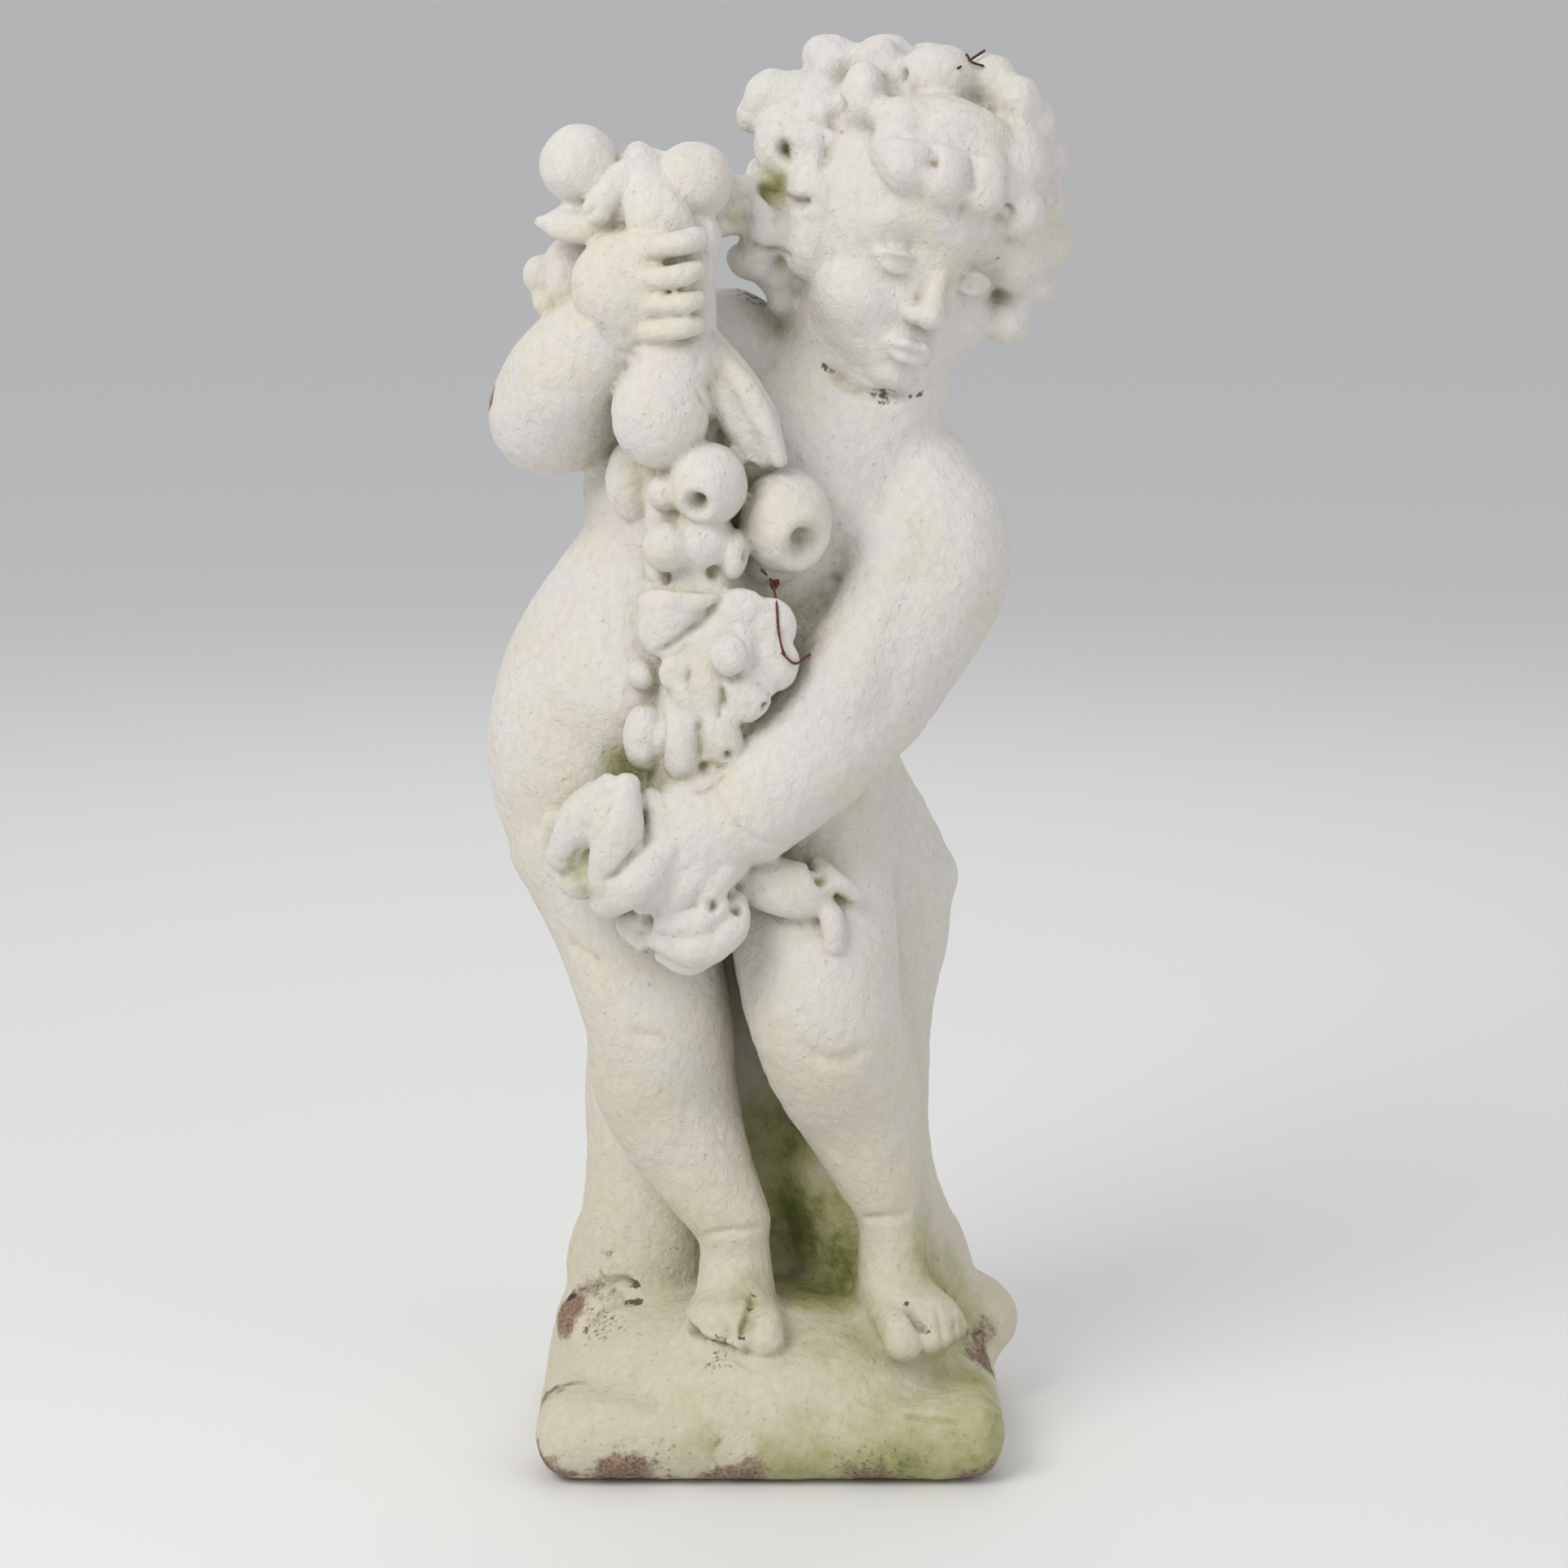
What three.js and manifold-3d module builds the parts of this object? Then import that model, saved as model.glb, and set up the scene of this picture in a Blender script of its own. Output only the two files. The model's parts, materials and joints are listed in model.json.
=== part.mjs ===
// A garden putto: a standing child with a garland of fruit, flowers and leaves,
// cast in one piece with the rock behind its legs and the block that it stands on.
//
// Millimetres, +Z up. The origin is the middle of the flat underside, and the child faces -Y.
// "Right" and "left" are the child's own, so its right arm lies towards -X.

import * as THREE from "three";
import { mergeVertices } from "three/addons/utils/BufferGeometryUtils.js";
import Module from "manifold-3d";

const wasm = await Module();
wasm.setup();

// ---------------------------------------------------------------- driving sizes

const block = { width: 264, depth: 216, height: 47, cornerRadius: 26, edge: 7, underEdge: 5 };

// Joint centres, and the flesh radius at each.
const body = {
  neck: { place: at(60, 5, 610), radius: 42 },
  rightShoulder: { place: at(-26, 14, 624), radius: 39 },
  rightElbow: { place: at(-122, -26, 594), radius: 36 },
  rightWrist: { place: at(-84, -62, 646), radius: 27 },
  leftShoulder: { place: at(90, 2, 562), radius: 38 },
  leftElbow: { place: at(70, -30, 446), radius: 36 },
  leftWrist: { place: at(0, -74, 392), radius: 30 },
  rightHip: { place: at(-90, 2, 352), radius: 64 },
  rightKnee: { place: at(-64, -20, 256), radius: 43 },
  rightCalf: { place: at(-59, -10, 206), radius: 41 },
  rightAnkle: { place: at(-22, -24, 132), radius: 23 },
  leftHip: { place: at(14, -2, 350), radius: 52 },
  leftKnee: { place: at(38, -46, 264), radius: 39 },
  leftCalf: { place: at(47, -22, 208), radius: 40 },
  leftAnkle: { place: at(68, -22, 136), radius: 18 },
};

const skull = {
  place: at(75, 4, 708),
  radii: at(67, 74, 70),
  tip: 10, // chin drawn in, looking down
  turn: 25, // towards the left shoulder
  lean: 17, // crown towards the left shoulder
};

const hair = { thickness: 23, fuller: 0.35, sunk: 6, curlSpread: 20, fringeSpread: 14 };

const stone = { colour: "#e9e4d6", roughness: 0.85 };

// ---------------------------------------------------------------- solids from three.js shapes

function at(x, y, z) {
  return new THREE.Vector3(x, y, z);
}

function rad(degrees) {
  return THREE.MathUtils.degToRad(degrees);
}

// A closed geometry as a manifold-3d solid, turned the right way out.
function solidOf(geometry) {
  const bare = geometry.index ? geometry.toNonIndexed() : geometry.clone();
  bare.deleteAttribute("normal");
  bare.deleteAttribute("uv");
  const merged = mergeVertices(bare, 1e-3);
  const corners = merged.index.array;
  const kept = [];
  for (let i = 0; i < corners.length; i += 3) {
    const [a, b, c] = [corners[i], corners[i + 1], corners[i + 2]];
    if (a !== b && b !== c && c !== a) kept.push(a, b, c);
  }
  const made = (triVerts) =>
    new wasm.Manifold(
      new wasm.Mesh({
        numProp: 3,
        vertProperties: new Float32Array(merged.attributes.position.array),
        triVerts: new Uint32Array(triVerts),
      }),
    );
  const solid = made(kept);
  return solid.volume() > 0 ? solid : made(kept.reverse());
}

function joined(solids) {
  return solids.reduce((whole, next) => whole.add(next));
}

// Turns a geometry (tip about X, then lean about Y, then turn about Z, in degrees) and sets it in place.
function placed(geometry, place, { tip = 0, lean = 0, turn = 0 } = {}) {
  const turned = new THREE.Quaternion().setFromEuler(
    new THREE.Euler(rad(tip), rad(lean), rad(turn), "ZYX"),
  );
  return geometry.applyMatrix4(
    new THREE.Matrix4().compose(place, turned, new THREE.Vector3(1, 1, 1)),
  );
}

// An ellipsoid. A fineness of 1 has 80 faces, 2 has 180, 3 has 320 and 4 has 500.
function ball(place, radii, turned = {}, fineness = 2) {
  const geometry = new THREE.IcosahedronGeometry(1, fineness);
  geometry.scale(radii.x, radii.y, radii.z);
  return solidOf(placed(geometry, place, turned));
}

function roundBall(place, radius, fineness = 2) {
  return ball(place, at(radius, radius, radius), {}, fineness);
}

// A limb through stations of { place, radius }, round at both ends: a turned profile whose rings are set
// square across a curve. depth is its thickness towards front, as a share of its width.
function limb(stations, { sides = 12, steps = 2, endSteps = 2, depth = 1, front = at(0, -1, 0) } = {}) {
  const curve = new THREE.CatmullRomCurve3(stations.map(({ place }) => place));
  const spans = stations.length - 1;
  const rings = [];
  const addRing = (along, radius, beyond) => {
    const onward = curve.getTangent(along);
    const facing = front.clone().addScaledVector(onward, -front.dot(onward)).normalize();
    const centre = curve.getPoint(along).addScaledVector(onward, beyond);
    rings.push({ centre, radius, facing, across: onward.clone().cross(facing) });
  };
  const [first, last] = [stations[0].radius, stations[spans].radius];
  for (let i = 0; i < endSteps; i += 1) {
    const angle = (Math.PI / 2) * (1 - i / endSteps);
    addRing(0, i === 0 ? 0 : first * Math.cos(angle), -depth * first * Math.sin(angle));
  }
  for (let i = 0; i <= spans * steps; i += 1) {
    const span = Math.min(Math.floor(i / steps), spans - 1);
    const share = THREE.MathUtils.smootherstep(i / steps - span, 0, 1);
    const [near, far] = [stations[span].radius, stations[span + 1].radius];
    addRing(i / (spans * steps), THREE.MathUtils.lerp(near, far, share), 0);
  }
  for (let i = 1; i <= endSteps; i += 1) {
    const angle = (Math.PI / 2) * (i / endSteps);
    addRing(1, i === endSteps ? 0 : last * Math.cos(angle), depth * last * Math.sin(angle));
  }
  const profile = rings.map((ring, i) => new THREE.Vector2(ring.radius, i));
  const geometry = new THREE.LatheGeometry(profile, sides);
  const points = geometry.attributes.position;
  for (let i = 0; i < points.count; i += 1) {
    const ring = rings[Math.round(points.getY(i))];
    const point = ring.centre.clone();
    point.addScaledVector(ring.across, points.getX(i));
    point.addScaledVector(ring.facing, depth * points.getZ(i));
    points.setXYZ(i, point.x, point.y, point.z);
  }
  return solidOf(geometry);
}

function between(from, to, share, radius, push = at(0, 0, 0)) {
  return { place: from.place.clone().lerp(to.place, share).add(push), radius };
}

// A small limb with few faces, for fingers, toes and stalks.
function twig(stations) {
  return limb(stations, { sides: 6, steps: 1 });
}

// A weathered lump: a ball whose surface swells and sinks in a few slow waves.
function rock(place, radii, seed, fineness = 1, roughness = 0.07) {
  const geometry = new THREE.IcosahedronGeometry(1, fineness);
  const points = geometry.attributes.position;
  const point = new THREE.Vector3();
  for (let i = 0; i < points.count; i += 1) {
    point.fromBufferAttribute(points, i);
    const waves =
      Math.sin(3.1 * point.x + seed) +
      Math.sin(4.3 * point.y + 1.7 * seed) +
      Math.sin(5.2 * point.z + 2.3 * seed);
    point.multiplyScalar(1 + roughness * waves);
    points.setXYZ(i, point.x, point.y, point.z);
  }
  geometry.scale(radii.x, radii.y, radii.z);
  return solidOf(placed(geometry, place));
}

// A leaf blade that lies in X and Z, its stalk at the place given and its tip up, with rounded edges.
function leaf(place, { length, width, thickness = 7 }, turned) {
  const outline = new THREE.Shape();
  outline.moveTo(-0.12 * width, 0);
  outline.bezierCurveTo(-0.75 * width, 0.3 * length, -0.45 * width, 0.8 * length, 0, length);
  outline.bezierCurveTo(0.45 * width, 0.8 * length, 0.75 * width, 0.3 * length, 0.12 * width, 0);
  const geometry = new THREE.ExtrudeGeometry(outline, {
    depth: 0.4 * thickness,
    bevelThickness: 0.3 * thickness,
    bevelSize: 0.3 * thickness,
    bevelSegments: 1,
    curveSegments: 3,
  });
  geometry.translate(0, 0, -0.2 * thickness);
  geometry.rotateX(Math.PI / 2);
  return solidOf(placed(geometry, place, turned));
}

// ---------------------------------------------------------------- block and rock

function standingBlock() {
  const { width, depth, height, cornerRadius: r, edge, underEdge } = block;
  const [halfWidth, halfDepth] = [width / 2 - edge, depth / 2 - edge];
  const outline = new THREE.Shape();
  outline.moveTo(-halfWidth + r, -halfDepth);
  outline.lineTo(halfWidth - r, -halfDepth);
  outline.quadraticCurveTo(halfWidth, -halfDepth, halfWidth, -halfDepth + r);
  outline.lineTo(halfWidth, halfDepth - r);
  outline.quadraticCurveTo(halfWidth, halfDepth, halfWidth - r, halfDepth);
  outline.lineTo(-halfWidth + r, halfDepth);
  outline.quadraticCurveTo(-halfWidth, halfDepth, -halfWidth, halfDepth - r);
  outline.lineTo(-halfWidth, -halfDepth + r);
  outline.quadraticCurveTo(-halfWidth, -halfDepth, -halfWidth + r, -halfDepth);
  const slab = new THREE.ExtrudeGeometry(outline, {
    depth: height - edge - underEdge,
    bevelThickness: edge,
    bevelSize: edge,
    bevelSegments: 1,
    curveSegments: 3,
  });
  slab.translate(0, 0, underEdge);
  const belowGround = new THREE.BoxGeometry(2 * width, 2 * depth, height);
  belowGround.translate(0, 0, -height / 2);
  const lumps = joined([
    ball(at(0, -2, 38), at(120, 104, 46)),
    rock(at(106, 48, 50), at(42, 44, 28), 1.4),
    rock(at(74, 58, 76), at(46, 36, 52), 4.1),
    rock(at(-76, 56, 74), at(46, 44, 66), 2.2),
    rock(at(-84, 36, 50), at(44, 60, 34), 0.6),
  ]);
  return solidOf(slab).add(lumps).subtract(solidOf(belowGround));
}

function standingRock() {
  return joined([
    limb([
      { place: at(-70, 50, 70), radius: 48 },
      { place: at(-62, 46, 140), radius: 47 },
      { place: at(-62, 46, 210), radius: 46 },
      { place: at(-48, 48, 310), radius: 46 },
    ], { sides: 10 }),
    limb([
      { place: at(72, 50, 70), radius: 50 },
      { place: at(51, 44, 140), radius: 46 },
      { place: at(48, 46, 230), radius: 46 },
      { place: at(58, 50, 310), radius: 48 },
      { place: at(38, 50, 366), radius: 44 },
    ], { sides: 10 }),
    ball(at(-4, 62, 200), at(72, 38, 168), {}, 1),
  ]);
}

// ---------------------------------------------------------------- trunk and limbs

function trunk() {
  const stations = [
    { place: at(-50, 8, 350), radius: 80 },
    { place: at(-66, 2, 392), radius: 98 },
    { place: at(-60, -4, 446), radius: 94 },
    { place: at(-26, 0, 508), radius: 82 },
    { place: at(14, 4, 556), radius: 86 },
    { place: at(40, 4, 586), radius: 68 },
  ];
  return joined([
    limb(stations, { sides: 16, steps: 2, depth: 0.66 }),
    ball(at(-58, -14, 448), at(84, 58, 72), { lean: 12 }),
    limb([body.neck, { place: at(50, 6, 572), radius: 44 }], { sides: 10 }),
    ball(at(-88, 24, 366), at(64, 56, 62), {}, 1),
    ball(at(4, 22, 372), at(60, 54, 58), {}, 1),
    ball(at(26, 0, 474), at(52, 40, 64), { lean: 20 }, 1),
  ]);
}

function arms() {
  const { rightShoulder, rightElbow, rightWrist, leftShoulder, leftElbow, leftWrist } = body;
  return joined([
    limb([rightShoulder, between(rightShoulder, rightElbow, 0.5, 36, at(0, 4, -2)), rightElbow], {
      sides: 10,
      front: at(0, 0, 1),
    }),
    limb([rightElbow, between(rightElbow, rightWrist, 0.4, 34, at(-4, 0, 2)), rightWrist], { sides: 10 }),
    limb([
      leftShoulder,
      between(leftShoulder, leftElbow, 0.45, 38, at(15, -2, 4)),
      leftElbow,
      between(leftElbow, leftWrist, 0.4, 36, at(4, 0, -6)),
      leftWrist,
    ]),
  ]);
}

function legs() {
  const { rightHip, rightKnee, rightCalf, rightAnkle, leftHip, leftKnee, leftCalf, leftAnkle } = body;
  return joined([
    limb([
      rightHip,
      between(rightHip, rightKnee, 0.5, 54),
      rightKnee,
      rightCalf,
      between(rightCalf, rightAnkle, 0.6, 31),
      rightAnkle,
      { place: at(-22, -24, 92), radius: 24 },
    ], { sides: 11 }),
    limb([
      leftHip,
      between(leftHip, leftKnee, 0.5, 46, at(0, -6, 0)),
      leftKnee,
      leftCalf,
      between(leftCalf, leftAnkle, 0.6, 28),
      leftAnkle,
      { place: at(70, -22, 92), radius: 22 },
    ], { sides: 11 }),
  ]);
}

// A foot that points the way of heading, in degrees from -Y towards +X. side is 1 where the big toe is
// on the +X side, and -1 where it is on the -X side.
function foot(ankle, heading, side, ground) {
  const onward = at(Math.sin(rad(heading)), -Math.cos(rad(heading)), 0);
  const across = at(Math.cos(rad(heading)), Math.sin(rad(heading)), 0).multiplyScalar(side);
  const spot = (forward, sideways, up) =>
    at(ankle.place.x, ankle.place.y, ground)
      .addScaledVector(onward, forward)
      .addScaledVector(across, sideways)
      .add(at(0, 0, up));
  const sole = [
    { place: spot(-12, 0, 14), radius: 20 },
    { place: spot(16, 0, 14), radius: 23 },
    { place: spot(38, 1, 4), radius: 25 },
  ];
  const pieces = [limb(sole, { sides: 10, depth: 0.75, front: at(0, 0, 1) })];
  for (let toe = 0; toe < 5; toe += 1) {
    const radius = toe === 0 ? 9 : 7.2 - 0.4 * toe;
    const sideways = 18 - 9.4 * toe;
    const reach = 57 - 1.2 * toe * toe;
    pieces.push(twig([
      { place: spot(reach - 20, 0.9 * sideways, 7), radius },
      { place: spot(reach, sideways, 4), radius },
    ]));
  }
  return joined(pieces);
}

// Four bent fingers side by side, between the knuckle, middle and tip of the first and those of the last.
function fingers(first, last, radius) {
  return joined([0, 1, 2, 3].map((finger) => {
    const share = finger / 3;
    const thick = radius * (1 - 0.12 * share);
    return twig(["knuckle", "middle", "tip"].map((joint) => (
      { place: first[joint].clone().lerp(last[joint], share), radius: thick }
    )));
  }));
}

function hands() {
  return joined([
    ball(at(-68, -72, 670), at(25, 19, 28), { lean: 14, turn: 10 }, 1),
    fingers(
      { knuckle: at(-66, -84, 692), middle: at(-46, -96, 696), tip: at(-33, -84, 699) },
      { knuckle: at(-60, -82, 651), middle: at(-46, -92, 652), tip: at(-36, -82, 654) },
      8,
    ),
    ball(at(-44, -80, 356), at(36, 20, 34), { lean: 30 }, 1),
    fingers(
      { knuckle: at(-56, -94, 378), middle: at(-74, -92, 368), tip: at(-82, -80, 352) },
      { knuckle: at(-38, -92, 346), middle: at(-52, -92, 332), tip: at(-62, -80, 322) },
      8,
    ),
  ]);
}

// ---------------------------------------------------------------- head

// The head is built upright about the middle of the skull, facing -Y, and then turned and set on the neck.
function headMatrix() {
  const turned = new THREE.Quaternion().setFromEuler(
    new THREE.Euler(rad(skull.tip), rad(skull.lean), rad(skull.turn), "YZX"),
  );
  return new THREE.Matrix4().compose(skull.place, turned, new THREE.Vector3(1, 1, 1));
}

// The direction out of the skull at a bearing from the face towards the left ear and a height above the ears.
function outOfSkull(bearing, height) {
  const [b, h] = [rad(bearing), rad(height)];
  return at(Math.cos(h) * Math.sin(b), -Math.cos(h) * Math.cos(b), Math.sin(h));
}

function face() {
  const sides = [-1, 1];
  return joined([
    ball(at(0, 0, 0), skull.radii, {}, 3),
    ball(at(0, -24, -42), at(52, 46, 46)),
    ball(at(0, -60, -82), at(14, 12, 12), {}, 1),
    ball(at(0, -75, -44), at(9, 12, 9), { tip: 12 }, 1),
    ball(at(0, -68, -64), at(14, 9, 6), {}, 1),
    ...sides.map((side) => ball(at(26 * side, -52, -50), at(22, 20, 22), {}, 1)),
    ...sides.map((side) => ball(at(64 * side, 4, -26), at(9, 14, 18), {}, 1)),
  ]);
}

function curlPlaces() {
  const rows = [
    { height: 90, from: 0, to: 0, count: 1 },
    { height: 62, from: 20, to: 330, count: 6 },
    { height: 34, from: 50, to: 310, count: 8 },
    { height: 6, from: 66, to: 294, count: 8 },
    { height: -22, from: 76, to: 284, count: 7 },
    { height: -48, from: 112, to: 248, count: 4 },
  ];
  const places = rows.flatMap((row) =>
    Array.from({ length: row.count }, (_, i) => {
      const share = row.count > 1 ? i / (row.count - 1) : 0;
      return { out: outOfSkull(row.from + share * (row.to - row.from), row.height), spread: hair.curlSpread };
    }),
  );
  const fringe = [0, 1, 2, 3].map((i) => (
    { out: outOfSkull(-14 + 19 * i, 27), spread: hair.fringeSpread }
  ));
  return [...places, ...fringe];
}

// The head of hair: a ball round the skull that rises in a lobe at each curl, and is sunk under the face.
function curls() {
  const places = curlPlaces();
  const geometry = new THREE.IcosahedronGeometry(1, 7);
  const points = geometry.attributes.position;
  const out = new THREE.Vector3();
  for (let i = 0; i < points.count; i += 1) {
    out.fromBufferAttribute(points, i).normalize();
    let rise = -hair.sunk;
    places.forEach((curl) => {
      const apart = out.angleTo(curl.out) / rad(curl.spread);
      if (apart < 1) rise = Math.max(rise, hair.thickness * Math.sqrt(1 - apart * apart));
    });
    if (rise > 0) rise *= 1 + hair.fuller * Math.max(0, -out.x);
    const { x, y, z } = skull.radii;
    points.setXYZ(i, (x + rise) * out.x, (y + rise) * out.y, (z + rise) * out.z);
  }
  return solidOf(geometry);
}

function head() {
  return face().add(curls()).transform(headMatrix().toArray());
}

// ---------------------------------------------------------------- garland

// A round flower like a cup, drilled at the middle of its mouth.
function cup(place, radius, turned) {
  const hole = new THREE.CylinderGeometry(0.32 * radius, 0.2 * radius, 1.2 * radius, 7);
  hole.rotateX(-Math.PI / 2);
  hole.translate(0, -radius, 0);
  return ball(place, at(radius, 0.9 * radius, 0.95 * radius), turned, 1).subtract(
    solidOf(placed(hole, place, turned)),
  );
}

// An open flower that faces -Y: a round heart in a ring of broad petals.
function openFlower(place, radius, petals, turned) {
  const pieces = [];
  for (let i = 0; i < petals; i += 1) {
    const angle = (2 * Math.PI * i) / petals;
    const petal = new THREE.IcosahedronGeometry(1, 1);
    petal.scale(0.42 * radius, 0.24 * radius, 0.48 * radius);
    petal.translate(0, 0, 0.58 * radius);
    petal.rotateY(angle);
    pieces.push(solidOf(placed(petal, place, turned)));
  }
  pieces.push(roundBall(place.clone().add(at(0, -0.22 * radius, 0)), 0.36 * radius, 1));
  return joined(pieces);
}

function garland() {
  const run = [
    { place: at(-62, -56, 728), radius: 17 },
    { place: at(-46, -62, 680), radius: 17 },
    { place: at(-40, -62, 636), radius: 20 },
    { place: at(-44, -64, 560), radius: 24 },
    { place: at(-40, -68, 500), radius: 26 },
    { place: at(-36, -68, 440), radius: 26 },
    { place: at(-48, -64, 380), radius: 28 },
    { place: at(-50, -64, 318), radius: 26 },
  ];
  return joined([
    limb(run, { sides: 8, steps: 1 }),
    // the bunch above the fist
    roundBall(at(-102, -56, 735), 20, 1),
    roundBall(at(-39, -58, 724), 21, 1),
    ball(at(-76, -56, 728), at(20, 16, 22), { lean: 30 }, 1),
    leaf(at(-66, -52, 684), { length: 56, width: 28 }, { lean: -56, tip: -10 }),
    leaf(at(-78, -40, 662), { length: 46, width: 34 }, { lean: -72 }),
    // below the fist: a pear, a twisted leaf and two drilled cups
    ball(at(-58, -82, 600), at(26, 19, 34), { lean: 4 }, 1),
    twig([
      { place: at(-30, -70, 632), radius: 15 },
      { place: at(-14, -68, 600), radius: 17 },
      { place: at(-2, -70, 578), radius: 13 },
    ]),
    cup(at(-34, -92, 566), 23, { tip: 20 }),
    cup(at(10, -78, 548), 27, { turn: 40, tip: 10 }),
    // fruit and leaves down the belly
    roundBall(at(-46, -86, 528), 20, 1),
    ball(at(-40, -82, 496), at(28, 15, 21), { lean: -20 }, 1),
    openFlower(at(-24, -90, 470), 40, 5, { tip: 8 }),
    ...[-1, 0, 1].map((i) => (
      ball(at(-44 + 22 * i, -80 - 4 * i, 426), at(15, 12, 21), { lean: -16 * i }, 1)
    )),
    // the bud and the leaves round the left hand, and the sprig over the thigh
    ball(at(-95, -80, 368), at(31, 22, 31), { lean: 28 }, 1),
    ball(at(-58, -78, 322), at(30, 18, 20), { lean: 20 }, 1),
    ball(at(-40, -80, 306), at(22, 16, 20), {}, 1),
    ball(at(16, -58, 350), at(28, 18, 17), { lean: 12 }, 1),
    twig([{ place: at(28, -62, 348), radius: 7 }, { place: at(40, -62, 334), radius: 6 }]),
    twig([{ place: at(26, -64, 336), radius: 7 }, { place: at(32, -64, 314), radius: 6 }]),
  ]);
}

// ---------------------------------------------------------------- the whole work, one casting

const whole = joined([
  standingBlock(),
  standingRock(),
  trunk(),
  arms(),
  legs(),
  foot(body.rightAnkle, -10, 1, 76),
  foot(body.leftAnkle, 22, -1, 74),
  hands(),
  head(),
  garland(),
]);

function geometryOf(solid) {
  const mesh = solid.getMesh();
  const positions = new Float32Array(3 * mesh.numVert);
  for (let i = 0; i < mesh.numVert; i += 1) {
    positions.set(mesh.vertProperties.subarray(i * mesh.numProp, i * mesh.numProp + 3), 3 * i);
  }
  const geometry = new THREE.BufferGeometry();
  geometry.setAttribute("position", new THREE.BufferAttribute(positions, 3));
  geometry.setIndex(new THREE.BufferAttribute(new Uint32Array(mesh.triVerts), 1));
  geometry.computeVertexNormals();
  return geometry;
}

const statue = new THREE.Mesh(
  geometryOf(whole),
  new THREE.MeshStandardMaterial({ color: stone.colour, roughness: stone.roughness, metalness: 0 }),
);
statue.name = "putto_statue";

const part = new THREE.Group();
part.add(statue);

export default part;
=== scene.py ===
import json
import math

import bpy
import numpy as np
from mathutils import Matrix, Vector
from mathutils.bvhtree import BVHTree


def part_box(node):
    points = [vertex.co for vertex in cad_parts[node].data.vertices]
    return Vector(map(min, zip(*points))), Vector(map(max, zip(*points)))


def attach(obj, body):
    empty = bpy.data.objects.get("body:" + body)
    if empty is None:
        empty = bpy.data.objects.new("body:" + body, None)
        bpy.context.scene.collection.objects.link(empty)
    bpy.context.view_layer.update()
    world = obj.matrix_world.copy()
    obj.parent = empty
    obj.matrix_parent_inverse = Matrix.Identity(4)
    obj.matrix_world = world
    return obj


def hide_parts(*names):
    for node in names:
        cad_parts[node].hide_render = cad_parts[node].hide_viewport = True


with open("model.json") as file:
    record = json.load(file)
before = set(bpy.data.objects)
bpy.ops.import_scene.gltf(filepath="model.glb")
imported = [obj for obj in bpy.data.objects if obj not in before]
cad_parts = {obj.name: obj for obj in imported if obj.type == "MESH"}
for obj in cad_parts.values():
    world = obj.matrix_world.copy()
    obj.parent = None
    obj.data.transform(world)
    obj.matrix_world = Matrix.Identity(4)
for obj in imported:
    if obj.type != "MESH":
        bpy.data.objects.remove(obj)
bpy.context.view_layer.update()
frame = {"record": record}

print("frame loaded")

# The CAD gives the place and the scale: the underside of the base, and the height of the casting.
# Every size below is in millimetres of the real statue, from the middle of that underside.
statue = {
    "node": "putto_statue",
    "slot": "painted_cast_stone",
    "height": 802,  # ground to the crown of the hair
    "fleshVoxel": 3.0,
    "fleshSmoothing": 12,
    "curlVoxel": 2.2,
    "curlSmoothing": 9,
    "carvingVoxel": 1.3,
    "carvingSmoothing": 6,
    "triangles": 190000,
}
lowest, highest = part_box(statue["node"])
standing = np.array(frame["record"]["mounts"][0]["pos_m"])
unit = (highest[2] - lowest[2]) / statue["height"]


# camera

view = {"elevation": 11, "distance": 2300, "aim": (8, 0, 382), "lens": 93}


def inMetres(place):
    return Vector(standing + unit * np.array(place, dtype=float))


def makeCamera():
    tilt = math.radians(view["elevation"])
    aim = inMetres(view["aim"])
    back = Vector((0, -math.cos(tilt), math.sin(tilt))) * view["distance"] * unit
    bpy.ops.object.camera_add(location=aim + back, rotation=(math.pi / 2 - tilt, 0, 0))
    camera = bpy.context.object
    camera.data.lens = view["lens"]
    camera.data.sensor_width = 36
    bpy.context.scene.camera = camera


makeCamera()


# pressing shapes out of a few primitives

rod = {"segments": 28, "rings": 36, "capRings": 6}


def addTemplates():
    made = {}
    for name, level in (("ball", 4), ("fineBall", 5)):
        bpy.ops.object.select_all(action="DESELECT")
        bpy.ops.mesh.primitive_ico_sphere_add(subdivisions=level, radius=1)
        made[name] = bpy.context.object
    bpy.ops.object.select_all(action="DESELECT")
    bpy.ops.mesh.primitive_uv_sphere_add(segments=rod["segments"], ring_count=rod["rings"], radius=1)
    made["rod"] = bpy.context.object
    return made


def readPoints(mesh):
    flat = np.empty(3 * len(mesh.vertices), dtype=np.float32)
    mesh.vertices.foreach_get("co", flat)
    return flat.reshape(-1, 3).astype(float)


def writePoints(mesh, points):
    mesh.vertices.foreach_set("co", points.astype(np.float32).ravel())
    mesh.update()


templates = addTemplates()
templatePoints = {name: readPoints(piece.data) for name, piece in templates.items()}
rodRing = np.round(np.arccos(np.clip(-templatePoints["rod"][:, 2], -1, 1)) / math.pi * rod["rings"])
rodAngle = np.arctan2(templatePoints["rod"][:, 1], templatePoints["rod"][:, 0])


def press(pile, kind, points):
    mesh = templates[kind].data.copy()
    writePoints(mesh, standing + unit * points)
    piece = bpy.data.objects.new(pile["name"], mesh)
    bpy.context.collection.objects.link(piece)
    pile["pieces"].append(piece)


def normalised(vectors):
    vectors = np.asarray(vectors, dtype=float)
    return vectors / np.maximum(np.linalg.norm(vectors, axis=-1, keepdims=True), 1e-9)


def rotation(degrees, axis):
    return Matrix.Rotation(math.radians(degrees), 3, axis)


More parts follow.
